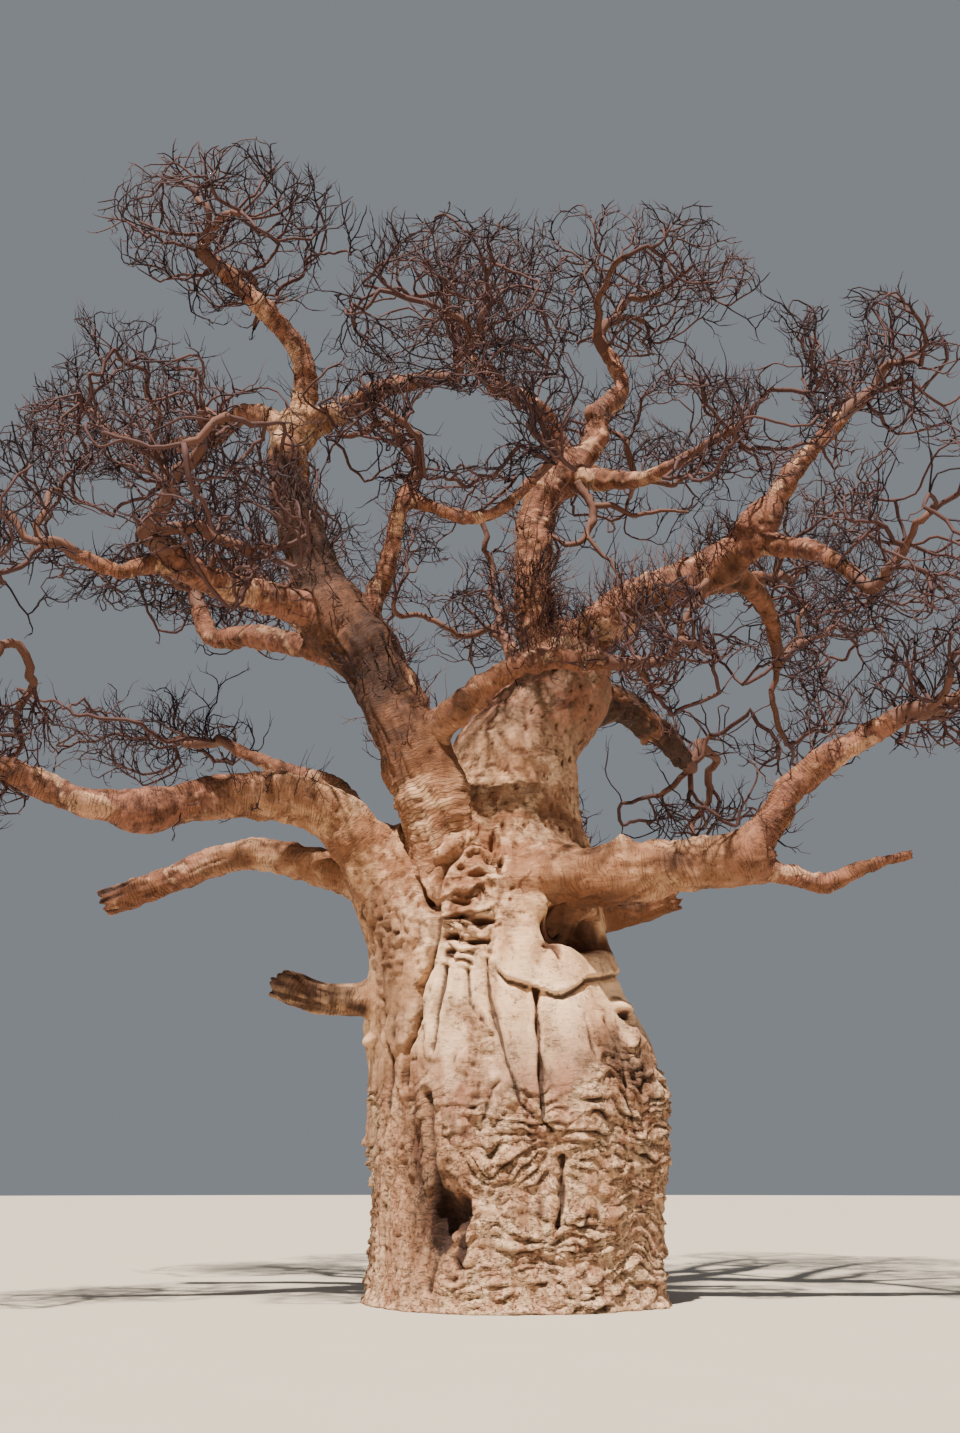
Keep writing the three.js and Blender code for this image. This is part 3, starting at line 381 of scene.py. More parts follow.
def unit(vectors):
    """Vectors brought to length one."""
    return vectors / np.maximum(np.linalg.norm(vectors, axis=-1, keepdims=True), 1e-9)


def ease(share):
    """Smooth step: 3 s^2 - 2 s^3, with s held between 0 and 1."""
    s = np.clip(share, 0, 1)
    return s * s * (3 - 2 * s)


# Factors and shifts of the hash that gives each corner of a lattice its slope
HASH_FACTORS = (2376512323, 3625334849, 3407524639)
HASH_SEED_FACTOR = 2654435761
HASH_ROUNDS = ((15, 739982445), (12, 695872825))


def hashed(cells, seed):
    """A scrambled 32-bit number for each whole-number place: its parts times odd numbers, mixed by shifts."""
    x, y, z = (cells[..., k].astype(np.uint32) * np.uint32(HASH_FACTORS[k]) for k in range(3))
    mixed = x ^ y ^ z ^ np.uint32(seed * HASH_SEED_FACTOR % 2**32)
    for shift, factor in HASH_ROUNDS:
        mixed = (mixed ^ (mixed >> np.uint32(shift))) * np.uint32(factor)
    return mixed ^ (mixed >> np.uint32(15))


def noise(places, size, seed=0):
    """Gradient noise, about -1 to 1, in lumps of a given size (one number, or one for each axis).

    Each corner of a unit lattice has a slope drawn by a hash. The value is the mix, by the fifth-power ease
    of the place in its cell, of each corner's slope times the way from that corner."""
    scaled = places / size
    cell = np.floor(scaled).astype(np.int64)
    part = scaled - cell
    eased = part * part * part * (part * (6 * part - 15) + 10)
    total = 0.0
    for corner in np.ndindex(2, 2, 2):
        mixed = hashed(cell + np.array(corner), seed)
        parts_of_slope = [(mixed >> np.uint32(10 * k)) & np.uint32(1023) for k in range(3)]
        slope = np.stack(parts_of_slope, axis=-1) / 511.5 - 1
        weight = np.prod(np.where(np.array(corner) == 1, eased, 1 - eased), axis=-1)
        total = total + weight * (slope * (part - corner)).sum(-1)
    return 1.7 * total


def shoves(places, size, seed):
    """Three noises, one for each axis."""
    return np.stack([noise(places, size, seed + k) for k in range(3)], -1)


def turned(bearing, middle):
    """One bearing less another, brought between -180 and 180 degrees."""
    return (bearing - middle + 180) % 360 - 180


def smooth_through(points, per_span=24, slack=1.0):
    """Catmull-Rom curve: between two points a cubic whose end slopes are half the step between the
    neighbours of each. Less slack draws it nearer to straight stretches."""
    points = np.asarray(points, float)
    ends = np.vstack([2 * points[0] - points[1], points, 2 * points[-1] - points[-2]])
    spans = len(points) - 1
    t = np.linspace(0, spans, spans * per_span + 1)
    i = np.minimum(t.astype(int), spans - 1)
    u = (t - i)[:, None]
    slope_in = (ends[i + 2] - ends[i]) * slack / 2
    slope_out = (ends[i + 3] - ends[i + 1]) * slack / 2
    start = (2 * u**3 - 3 * u**2 + 1) * ends[i + 1] + (u**3 - 2 * u**2 + u) * slope_in
    return start + (3 * u**2 - 2 * u**3) * ends[i + 2] + (u**3 - u**2) * slope_out


def along(points):
    """Length of a line of points from its start to each of them."""
    return np.concatenate([[0.0], np.cumsum(np.linalg.norm(np.diff(points, axis=0), axis=1))])


def at_lengths(points, lengths):
    """The places at given lengths along a line of points."""
    own = along(points)
    return np.column_stack([np.interp(lengths, own, points[:, k]) for k in range(points.shape[1])])


def spaced(points, count):
    """A line's points dealt out again at even steps of its length."""
    return at_lengths(points, np.linspace(0, along(points)[-1], count))


def crowded_steps(low, high, count, density):
    """Places from low to high that stand closer together where the density is higher."""
    fine = np.linspace(low, high, 3000)
    share = np.concatenate([[0.0], np.cumsum((density(fine[1:]) + density(fine[:-1])) / 2)])
    return np.interp(np.linspace(0, share[-1], count), share, fine)


RING_TABLE = smooth_through(TRUNK_RINGS)
TRUNK_TOP = TRUNK_RINGS[-1][0]


def bell(bearing, height, middle, level, wide, tall):
    """A bell curve over bearing and height."""
    return np.exp(-((turned(bearing, middle) / wide) ** 2) - ((height - level) / tall) ** 2)


def fold_share(bearing, height):
    """Share of the trunk's radius that its folds add: each a bell curve over the bearing, eased in and out
    over its heights. Its lumps are bell curves over bearing and height."""
    share = np.zeros(np.broadcast(bearing, height).shape)
    for middle, deep, spread, low, high in TRUNK_FOLDS:
        if isinstance(middle, list):
            middle = np.interp(height, *np.transpose(middle))
        rise = 1 if low == 0 else ease((height - low) / FOLD_FADE)
        fall = 1 - ease((height - high + FOLD_FADE) / FOLD_FADE)
        share += deep * rise * fall * np.exp(-((turned(bearing, middle) / spread) ** 2))
    for middle, level, deep, spread, tall in TRUNK_LUMPS:
        share += deep * bell(bearing, height, middle, level, spread, tall)
    return share


def trunk_profile(height):
    """Middle x, middle y, half width and half depth of the trunk at a height, from a smooth curve through
    its rings."""
    return [np.interp(height, RING_TABLE[:, 0], RING_TABLE[:, k]) for k in range(1, 5)]


def trunk_surface(bearing, height):
    """The trunk before its bark: at each height an ellipse, its radius times 1 plus its folds' share."""
    x, y, width, depth = trunk_profile(height)
    share = 1 + fold_share(bearing, height)
    turn = np.radians(bearing)
    east, north = x + width * share * np.cos(turn), y + depth * share * np.sin(turn)
    return np.stack([east, north, height + 0 * turn], -1)


def trunk_gap(places):
    """Distance outside the trunk, measured level with the ground, and rounded off over its top."""
    height = np.clip(places[..., 2], 0, TRUNK_TOP)
    x, y, width, depth = trunk_profile(height)
    east = (places[..., 0] - x) / width
    north = (places[..., 1] - y) / depth
    ratio = np.maximum(np.hypot(east, north), 1e-6)
    size = np.hypot(width * east, depth * north) / ratio
    bearing = np.degrees(np.arctan2(north, east))
    level = (ratio - 1 - fold_share(bearing, height)) * size
    above = np.maximum(places[..., 2] - TRUNK_TOP, 0)
    return np.where(above > 0, np.hypot(np.maximum(level, 0), above) + np.minimum(level, 0), level)


def around_trunk(places):
    """Distance outside the trunk, and the way straight out of it by central differences."""
    steps = np.eye(3) * 0.01
    slope = np.stack([trunk_gap(places + step) - trunk_gap(places - step) for step in steps], -1)
    return trunk_gap(places), unit(slope)


class Limb:
    """A bough's middle line, evenly spaced on a smooth curve through its bends, and its radius at each
    place."""

    def __init__(self, name, parent, root, tip, collar, broken, bends):
        self.name, self.parent, self.broken = name, parent, broken
        self.root, self.tip, self.collar = root, tip, collar
        self.curve = smooth_through(bends)
        self.length = along(self.curve)[-1]
        self.line = spaced(self.curve, max(6, round(self.length / LINE_SPACING)) + 1)
        self.radii = self.radius(along(self.line))
        self.fillet = FILLETS.get(name, COMMON_FILLET) * (root + collar)

    def radius(self, reach):
        """Even taper from root to tip, with a collar at the root that fades by an exponential."""
        taper = self.root + (self.tip - self.root) * reach / self.length
        return taper + self.collar * np.exp(-reach / COLLAR_LENGTH)

    def around(self, places):
        """Distance outside the limb's chain of tapering stretches, and the way straight out of it."""
        start, step = self.line[:-1], np.diff(self.line, axis=0)
        share = np.clip(((places[:, None] - start) * step).sum(2) / (step**2).sum(1), 0, 1)
        apart = places[:, None] - start - share[..., None] * step
        far = np.linalg.norm(apart, axis=2)
        gap = far - self.radii[:-1] - share * np.diff(self.radii)
        best = gap.argmin(1)
        rows = np.arange(len(places))
        return gap[rows, best], apart[rows, best] / np.maximum(far[rows, best, None], 1e-9)

    def within(self, places, room):
        """True where a place is near enough to matter."""
        nearest = np.full(len(places), np.inf)
        for point in self.line[::3]:
            nearest = np.minimum(nearest, ((places - point) ** 2).sum(1))
        return nearest < (self.radii.max() + room + 0.5) ** 2


LIMBS = {entry[0]: Limb(*entry) for entry in BOUGHS}


def neighbours_of(name):
    """The limbs that a limb grows together with, each with the width of the fillet between them: the one it
    grows from, those that grow from it, and those that grow from the same place."""
    found = []
    if name != "trunk":
        own = LIMBS[name]
        found.append((own.parent, own.fillet))
        for other in LIMBS.values():
            close = other.name != name and other.parent == own.parent
            if close and np.linalg.norm(other.line[0] - own.line[0]) < own.root + other.root + NEAR:
                found.append((other.name, 0.8 * min(own.fillet, other.fillet)))
    found += [(limb.name, limb.fillet) for limb in LIMBS.values() if limb.parent == name]
    return found


def around(name, places):
    """Distance outside a limb or the trunk, and the way straight out of it."""
    return around_trunk(places) if name == "trunk" else LIMBS[name].around(places)


def fillet_width(name, other, width, places):
    """Width of the fillet between a limb and another at each place: one limb's is narrow under its root."""
    edge = NARROW_BELOW.get(name if other == "trunk" else other if name == "trunk" else "")
    if edge is None:
        return np.full(len(places), width)
    return width * (NARROWED + (1 - NARROWED) * ease((places[:, 2] - edge) / 0.3))


def settle(name, points):
    """A limb's surface drawn out into smooth fillets where it meets its neighbours.

    Two distances a and b join as their lesser one less w h^2 / 4, with h = 1 - |a - b| / w where that is
    positive and w the fillet's width. Each point moves straight out until the joined distance is nought."""
    moved = points.copy()
    shift = np.zeros(len(points))
    close = neighbours_of(name)
    touched = np.zeros(len(points), bool)
    masks = []
    for other, width in close:
        if other == "trunk":
            near = trunk_gap(points) < width + NEAR
        else:
            near = LIMBS[other].within(points, width)
        masks.append(near)
        touched |= near
    chosen = np.flatnonzero(touched)
    if not len(chosen):
        return moved, shift
    own_first, _ = around(name, points[chosen])
    weight = np.ones(len(chosen))
    band = np.zeros(len(chosen))
    for (other, width), near in zip(close, masks):
        part = near[chosen]
        gap, _ = around(other, points[chosen][part])
        width = fillet_width(name, other, width, points[chosen][part])
        weight[part] *= ease(gap / (0.6 * width) + 1)
        band[part] = np.maximum(band[part], ease(1 - np.abs(gap) / width))
    places = points[chosen].copy()
    for _ in range(SETTLE_ROUNDS):
        gap, out = around(name, places)
        gap = gap - own_first
        for (other, width), near in zip(close, masks):
            part = near[chosen]
            there, away = around(other, places[part])
            width = fillet_width(name, other, width, places[part])
            here = gap[part]
            joined = np.clip(1 - np.abs(here - there) / width, 0, 1)
            share = np.where(here < there, joined / 2, 1 - joined / 2)[:, None]
            gap[part] = np.minimum(here, there) - joined**2 * width / 4
            out[part] = unit(out[part] * (1 - share) + away * share)
        places = places - out * (gap * weight)[:, None]
    moved[chosen] = places
    shift[chosen] = band
    return moved, shift


def grid_normals(grid):
    """The way straight out of a grid of rows that close on themselves: across times along."""
    across = np.roll(grid, -1, axis=1) - np.roll(grid, 1, axis=1)
    upward = np.gradient(grid, axis=0)
    return unit(np.cross(across, upward))


def blurred(field, reach):
    """Mean over a square window of a grid whose columns close on themselves."""
    total = field.copy()
    for step in range(1, reach + 1):
        total = total + np.roll(field, step, axis=1) + np.roll(field, -step, axis=1)
    total = total / (2 * reach + 1)
    padded = np.pad(total, ((reach, reach), (0, 0)), mode="edge")
    rows = len(field)
    return sum(padded[step : step + rows] for step in range(2 * reach + 1)) / (2 * reach + 1)


def tube_faces(rows, columns):
    """Quads of a grid of rows that close on themselves, and a fan over each end: the two middles come after
    the grid's own points."""
    ring = np.arange(columns)
    after = (ring + 1) % columns
    low = np.arange(rows - 1)[:, None] * columns + ring
    side = np.arange(rows - 1)[:, None] * columns + after
    quads = np.stack([low, side, side + columns, low + columns], -1).reshape(-1, 4)
    bottom = np.full(columns, rows * columns)
    last = (rows - 1) * columns
    start = np.stack([bottom, after, ring], -1)
    end = np.stack([bottom + 1, ring + last, after + last], -1)
    return [quads, np.vstack([start, end])]


def linked(name, data):
    """A new object in the scene."""
    thing = bpy.data.objects.new(name, data)
    bpy.context.scene.collection.objects.link(thing)
    return thing


def new_piece(name, node, points, faces, materials, indices=None, values=None):
    """A mesh object with its place in its mesh, that hides the node of the frame that it is given.

    faces is a list of arrays, each of faces with the same number of corners. values are numbers, or vectors,
    at each point, kept as attributes."""
    mesh = bpy.data.meshes.new(name)
    corners = np.concatenate([group.ravel() for group in faces]).astype(np.int32)
    sizes = np.concatenate([np.full(len(group), group.shape[1]) for group in faces])
    starts = np.concatenate([[0], np.cumsum(sizes)[:-1]]).astype(np.int32)
    mesh.vertices.add(len(points))
    mesh.vertices.foreach_set("co", np.asarray(points, np.float32).ravel())
    mesh.loops.add(len(corners))
    mesh.loops.foreach_set("vertex_index", corners)
    mesh.polygons.add(len(sizes))
    mesh.polygons.foreach_set("loop_start", starts)
    mesh.polygons.foreach_set("use_smooth", np.ones(len(sizes), bool))
    for material in materials:
        mesh.materials.append(material)
    if indices is not None:
        mesh.polygons.foreach_set("material_index", np.asarray(indices, np.int32))
    mesh.update(calc_edges=True)
    for key, value in (values or {}).items():
        kind, entry = ("FLOAT_VECTOR", "vector") if np.ndim(value) == 2 else ("FLOAT", "value")
        attribute = mesh.attributes.new(key, kind, "POINT")
        attribute.data.foreach_set(entry, np.asarray(value, np.float32).ravel())
    if mesh.validate():
        raise RuntimeError(name + " has faulty faces")
    thing = linked(name, mesh)
    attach(thing, "root")
    if node:
        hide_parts(node)
    return thing


def bark_piece(limb, points, fields, grain, material):
    """A grid of bark closed by a fan at each end, with its fields and its grain kept at each point."""
    rows, columns = points.shape[:2]
    flat = points.reshape(-1, 3)
    ends = np.vstack([flat[:columns].mean(0), flat[-columns:].mean(0)])
    values = {key: np.append(field.ravel(), [0, 0]) for key, field in fields.items()}
    values["grain"] = np.vstack([grain.reshape(-1, 3), ends])
    points = np.vstack([flat, ends])
    return new_piece(limb + "_bark", limb, points, tube_faces(rows, columns), [material], values=values)


def path_gap(bearing, height, path):
    """Distance of each place on the trunk from a path over it, with its bearings unrolled on a 2 m radius."""
    path = np.array(path, float)
    first = path[0, 0]
    place = np.stack([np.radians(turned(bearing, first)) * TRUNK_RADIUS, height], -1)
    bends = np.stack([np.radians(turned(path[:, 0], first)) * TRUNK_RADIUS, path[:, 1]], -1)
    least = np.full(height.shape, np.inf)
    for start, end in zip(bends[:-1], bends[1:]):
        step = end - start
        share = np.clip(((place - start) @ step) / (step @ step), 0, 1)
        least = np.minimum(least, np.linalg.norm(place - start - share[..., None] * step, axis=-1))
    return least


def billow(places, size, seed):
    """Round folds that meet in sharp creases: the absolute value of noise, less its mean."""
    return np.abs(noise(places, size, seed)) - 0.25


def lips(places, spacing, patch, seed):
    """Level lips that overlap, 0 to 1, the level that they are counted by, and their strength: each stands
    out at its lower edge and falls back slowly above it. Slow noise bends them, and another breaks each
    one up."""
    bend = 0.24 * noise(places, (0.9, 0.9, 0.6), seed) + 0.09 * noise(places, (0.3, 0.3, 0.24), seed + 1)
    level = (places[..., 2] + bend) / spacing
    share = level - np.floor(level)
    strength = ease(0.9 * noise(places, (patch, patch, 1.3 * spacing), seed + 2) + 0.5)
    return (1 - share) * ease(share / 0.14) * strength, level, strength


def marks(bearing, height, table):
    """Sum of soft marks on the trunk, each a share of a bell curve."""
    return sum(share * bell(bearing, height, *mark) for share, *mark in table)


def pit(bearing, height, middle, level, wide, tall):
    """Like a bell, but with a flat middle and steep sides: e to the minus of its squared place, squared."""
    return np.exp(-(((turned(bearing, middle) / wide) ** 2 + ((height - level) / tall) ** 2) ** 2))


def round_noise(bearing, spread, seed):
    """Noise over the bearing alone."""
    return noise(np.stack([bearing / spread, 0 * bearing, 0 * bearing], -1), 1.0, seed)


def wrinkled_skin(bearing, height, places, bent):
    """The skin near the ground: how far each place is wrinkled, its relief, and the lips' level and strength.

    Overlapping lips and round folds, with pebbles low down and upright plates on the left."""
    ragged = 0.3 * noise(places, 0.6, 13) + 0.18 * noise(places, 0.2, 28)
    wrinkled = ease((np.interp(bearing, WRINKLE_BEARINGS, WRINKLE_TOPS) + ragged - height) / 0.6 + 0.5)
    pebbled = wrinkled * ease((1.9 + 0.5 * noise(places, 0.7, 29) - height) / 0.8 + 0.5)
    upright = ease((-112 - bearing) / 10) * ease((bearing + 170) / 10) * wrinkled
    lip, level, strength = lips(bent, 0.15, 0.32, 51)
    small, _, _ = lips(bent, 0.26, 0.7, 55)
    skin = 0.1 * lip + 0.06 * small + 0.03 * billow(bent, (0.34, 0.34, 0.2), 16) - 0.06
    skin += 0.02 * billow(bent, (0.16, 0.16, 0.1), 23)
    grit = 0.06 * billow(bent, (0.26, 0.26, 0.19), 30) + 0.03 * billow(places, (0.13, 0.13, 0.1), 33)
    bark = 0.08 * billow(bent, (0.2, 0.2, 0.55), 34) + 0.035 * billow(places, (0.12, 0.12, 0.2), 35)
    pebbled *= 0.35 + 0.65 * ease((-80 - bearing) / 20)
    skin = skin * (1 - 0.4 * pebbled) + 0.8 * pebbled * grit
    relief = wrinkled * (skin * (1 - 0.7 * upright) + upright * (bark - 0.02))
    return wrinkled, relief, level, strength * wrinkled * (1 - 0.7 * upright) * (1 - 0.5 * pebbled)


def gnarled_column(bearing, height, places, bent):
    """The column between finger and right shoulder: its share at each place, its ledges' height, and their
    level and strength."""
    aside = bearing - np.interp(height, COLUMN_HEIGHTS, COLUMN_BEARINGS) + 3 * noise(places, 0.4, 22)
    half = np.interp(height, COLUMN_HEIGHTS, COLUMN_WIDTHS)
    column = ease((half - np.abs(aside)) / 4) * ease((height - 4.25) / 0.35) * ease((6.8 - height) / 0.4)
    ledge, level, strength = lips(bent, 0.17, 0.3, 61)
    return column, 0.15 * ledge + 0.07 * billow(bent, (0.3, 0.3, 0.12), 18) - 0.05, level, strength


def hanging_lip(bearing, height, wander):
    """The lip across the front: a step that fades upwards, with a groove under it."""
    swag = np.array(SWAG, float)
    above = height - np.interp(bearing, swag[:, 0], swag[:, 1]) + 0.7 * wander
    across = ease((bearing - swag[0, 0]) / 4) * ease((swag[-1, 0] - bearing) / 6)
    step = 0.07 * ease(above / 0.045 + 0.5) * np.exp(-np.maximum(above, 0) / 0.5)
    return across * (step - 0.045 * np.exp(-(((above + 0.045) / 0.045) ** 2)))


def trunk_relief(bearing, height, places):
    """Height of the bark over the trunk, what is carved into it, and the marks that its colours follow.

    Lumps are gradient noise. A groove is a bell curve across its path, with a lip on both sides. The finger
    is a round ridge. Hollows and knobs are flat-bottomed bell curves. The front panel between the grooves is
    smooth, and the bark is coarse on the left, high up and in a patch on the right."""
    wander = 0.03 * noise(places, 0.35, 21)
    panel = ease((bearing + 97) / 6) * ease((-52 - bearing) / 8) * ease((height - 2.3) / 0.4)
    panel *= ease((4.9 - height) / 0.4)
    bent = places.copy()
    bent[..., 2] += 0.2 * noise(places, 0.8, 14) + 0.06 * noise(places, 0.25, 15)
    relief = (0.035 * noise(places, 1.1, 11) + 0.018 * noise(places, 0.5, 12)) * (1 - 0.6 * panel)
    relief += 0.022 * noise(places, (0.3, 0.3, 1.7), 20) * (1 - panel)
    relief += 0.008 * billow(bent, (0.4, 0.4, 0.1), 17) * (1 - 0.7 * panel)
    wrinkled, skin, level, strength = wrinkled_skin(bearing, height, places, bent)
    relief += skin
    rough = pit(bearing, height, -40, 3.2, 20, 0.55) * ease(noise(places, (0.4, 0.4, 0.8), 36) + 0.8)
    relief += rough * 0.05 * billow(places, (0.14, 0.14, 0.3), 37)
    coarse = np.maximum(pit(bearing, height, -150, 4.6, 26, 1.7), 0.9 * ease((height - 5.9) / 0.8))
    coarse *= ease(noise(places, 0.5, 66) + 0.75)
    relief += coarse * (0.035 * billow(places, (0.2, 0.2, 0.3), 67) + 0.02 * billow(places, 0.11, 68))
    # Small pits high up, carved in and painted dark as shade
    pits = ease((noise(places, 0.14, 75) - 0.5) / 0.12) * ease((height - 4.4) / 0.7) * (1 - panel)
    spread = 0.04 + 0.09 * round_noise(bearing, 24, 25) + 0.05 * round_noise(bearing, 9, 26)
    relief += spread * ease(1 - height / 0.6) ** 2
    bent[..., 2] += 0.12 * noise(places, 0.32, 64)
    column, ledges, ledge_level, ledge_strength = gnarled_column(bearing, height, places, bent)
    level = np.where(column > 0.05, ledge_level, level)
    strength = np.maximum(strength, column * ledge_strength)
    gap = path_gap(bearing, height, FINGER)
    finger = np.sqrt(np.clip(1 - (gap / FINGER_WIDTH) ** 2, 0, 1))
    ringed = 0.025 * noise(places, (0.7, 0.7, 0.075), 38) + 0.01 * noise(places, (0.4, 0.4, 0.04), 39)
    carved = column * ledges * (1 - ease(2 * finger)) + finger * (0.2 + 2 * ringed)
    left = 1.6 * pit(bearing, height, -142, 4.6, 28, 1.7) * ease(noise(places, 0.5, 71) + 0.9)
    left += 0.8 * ease((height - 5.6) / 0.6)
    flaked = pit(bearing, height, -106, 3.3, 10, 0.8) * ease(1.4 * noise(places, 0.4, 72) + 0.8)
    flakes = 0.06 * billow(bent, (0.24, 0.24, 0.4), 73) + 0.02 * noise(places, 0.1, 74)
    carved += (left + 1.6 * flaked) * flakes
    for path, depth, width, beside in GROOVES:
        gap = path_gap(bearing, height, path) + wander
        valley = np.exp(-((gap / width) ** 2))
        relief *= 1 - 0.7 * valley
        carved += beside * np.exp(-(((gap - 2.4 * width) / (1.5 * width)) ** 2)) - depth * valley
    carved += hanging_lip(bearing, height, wander)
    # Painted shade in the hollows: how deep in one each place lies, taken off the stain and shade field below
    dark = np.zeros(height.shape)
    for middle, at, half_width, half_height, depth in DENTS:
        wide = math.degrees(half_width / TRUNK_RADIUS)
        dent = pit(bearing, height + wander, middle, at, wide, half_height)
        carved += depth * dent
        if depth < 0:
            dark = np.maximum(dark, dent)
    carved -= PIT_DEPTH * pits
    stained = marks(bearing, height, DARK_MARKS) + 1.1 * rough
    stain_and_shade = np.clip(marks(bearing, height, PALE_MARKS), 0, 1) - np.clip(stained + 0.6 * flaked, 0, 1)
    # Painted shade: hollows and small pits darken the stain and shade field
    stain_and_shade -= 1.5 * dark + 1.2 * pits
    grey = np.maximum(wrinkled, np.maximum(0.35 * coarse, 0.6 * flaked))
    return relief, carved, grey, stain_and_shade, level, strength * (1 - finger)


def bark_lumps(places):
    """Small lumps that run on over trunk and boughs alike: noises of their places, and round folds high
    up."""
    lumps = 0.006 * noise(places, 0.16, 31) + 0.016 * noise(places, 0.5, 32)
    folds = 0.024 * billow(places, (0.2, 0.2, 0.26), 67) + 0.011 * billow(places, 0.1, 68)
    return lumps + folds * ease((places[..., 2] - 3.9) / 2.3)


def outer_share(places):
    """How far out on the tree a place is: none on the trunk, all of it on the far boughs."""
    # Redder bark further out is the boughs' own; the middle and scale are set so that the leader and high
    # boughs, in the crown's shade, also get more of the darker bark as painted shade
    far = np.linalg.norm((places - (-0.7, 0, 5.4)) / (1.3, 1.1, 0.88), axis=-1)
    return ease((far - 1.5) / 2.8)


def creases(relief, reach, depth):
    """How far each place lies below the mean of those round it, as a share of a depth, from -1 to 1."""
    return np.clip((blurred(relief, reach) - relief) / depth, -1, 1)


def make_trunk(settings, material):
    """The trunk with its fillets and its bark: a grid of bearings and heights, drawn out by the relief."""
    bearings = crowded_steps(-180, 180, settings.columns + 1, lambda b: 1 + 0.42 * np.cos(np.radians(b + 90)))
    heights = crowded_steps(0, TRUNK_TOP, settings.rows, lambda h: 1.25 - 0.65 * ease((h - 6.3) / 0.8))
    bearing, height = np.meshgrid(bearings[:-1], heights)
    base = trunk_surface(bearing, height)
    settled, band = settle("trunk", base.reshape(-1, 3))
    grid = settled.reshape(base.shape)
    band = band.reshape(height.shape)
    relief, carved, grey, stain_and_shade, level, strength = trunk_relief(bearing, height, base)
    relief = settings.relief * (relief * (1 - 0.8 * band) + carved * (1 - 0.35 * band)) + bark_lumps(grid)
    out = grid_normals(grid)
    out[..., 2] *= ease(height / 0.4)
    points = grid + out * relief[..., None]
    points[..., 2] -= 0.3 * np.maximum(relief, 0) * ease(height / 0.6) * (1 - band)
    points[..., 2] = np.maximum(points[..., 2], 0)
    points[0, :, 2] = 0
    fields = {
        # How far each place lies below its neighbours, which the bark darkens as painted shade
        "crease": np.maximum(creases(relief, 3, 0.045), creases(relief, 9, 0.14)),
        "grey": grey,
        "stain_and_shade": stain_and_shade,
        "level": level,
        "lip": strength * (1 - 0.8 * band),
        "outer": outer_share(points),
    }
    bark_piece("trunk", points, fields, base, material)


def carried(heading):
    """Directions across a line, carried along it without twisting: each is the one before it, less its share
    along the new heading."""
    first = np.eye(3)[np.abs(heading[0]).argmin()]
    across = np.empty_like(heading)
    for row, way in enumerate(heading):
        first = unit(first - (first @ way) * way)
        across[row] = first
    return across


def ring_ways(heading, across, turn):
    """The ways out of each place on a line, at given turns round its heading."""
    third = np.cross(heading, across)
    return across[:, None] * np.cos(turn)[:, None] + third[:, None] * np.sin(turn)[:, None]


def knots(limb, number, reach, turn, level):
    """Knots along a limb: bell curves at random places, most of them outwards."""
    draw = np.random.default_rng(100 + number)
    total = 0.0
    for _ in range(round(limb.length * KNOTS)):
        place, side, wide, high = draw.uniform(size=4)
        apart = (turn - side * 2 * math.pi + math.pi) % (2 * math.pi) - math.pi
        gap = np.hypot(reach[:, None] - place * limb.length, apart * level[:, None])
        width = (0.3 + 0.4 * wide) * limb.radius(place * limb.length)
        total = total + (0.42 * high - 0.1) * np.exp(-((gap / width) ** 2))
    return total


# Spacing of the fine rings round the limbs, how many knots a metre of limb has, and how far each limb's grain
# lies from the one before it
RING_SPACING = 0.055
KNOTS = 2.4
GRAIN_STEP = 7.3

# Burls of the boughs: middle, half width and rise. The ones that sink make the hollow under the low right
# limb, which is also painted dark as shade
BURLS = [
    ((1.38, 0.35, 14.38), 0.2, 0.24), ((-4.0, -1.5, 15.2), 0.3, 0.14), ((1.15, -0.1, 12.65), 0.16, 0.12),
    ((3.3, -1.25, 10.5), 0.3, 0.16), ((-2.1, -1.3, 9.5), 0.3, 0.14), ((-3.25, -0.4, 4.3), 0.25, 0.1),
    ((0.5, -1.6, 4.88), 0.36, -0.38), ((0.75, -1.35, 5.0), 0.36, -0.3), ((1.1, -1.4, 5.12), 0.34, -0.22),
]

# Limbs darkened as painted shade: how dark, and from and up to which height. Some have furrowed bark, as deep
# as they are dark, and one has a ringed foot
PAINTED_SHADE_LIMBS = {
    "left_leader": (1.35, 6.9, 20), "left_upright": (1.5, 7, 12.6), "back_right_bough": (1.4, 7, 20),
    "right_hanging_arm": (0.8, 7, 20), "low_right_inner": (0.5, 4, 20), "low_right_outer": (0.4, 4, 20),
    "low_left_inner": (0.2, 4, 20), "centre_bough": (0.3, 9, 20), "crossing_arm": (0.25, 7, 20),
    "left_stub": (0.6, 3, 20), "low_right_stub": (1.2, 4, 20), "low_left_broken": (0.35, 4, 20),
}
FURROWED = (
    "left_leader", "left_upright", "back_right_bough", "left_stub", "low_left_broken", "low_right_stub",
)
RINGED_FOOT = "left_leader"

# Painted light: the fork high on the left is kept pale, as its top is lit from above: its middle and half
# width
PAINTED_LIGHT_FORK = ((-3.35, -0.9, 13.3), 0.75)

# Rounded and broken ends: how far beyond the tip each last row stands and its radius, as shares of the tip's
DOME = ((0.25, 0.94), (0.6, 0.78), (0.95, 0.52), (1.15, 0.22))
BREAK = ((0.12, 0.95), (0.15, 0.82), (-0.1, 0.66), (-0.9, 0.55), (-1.5, 0.4))


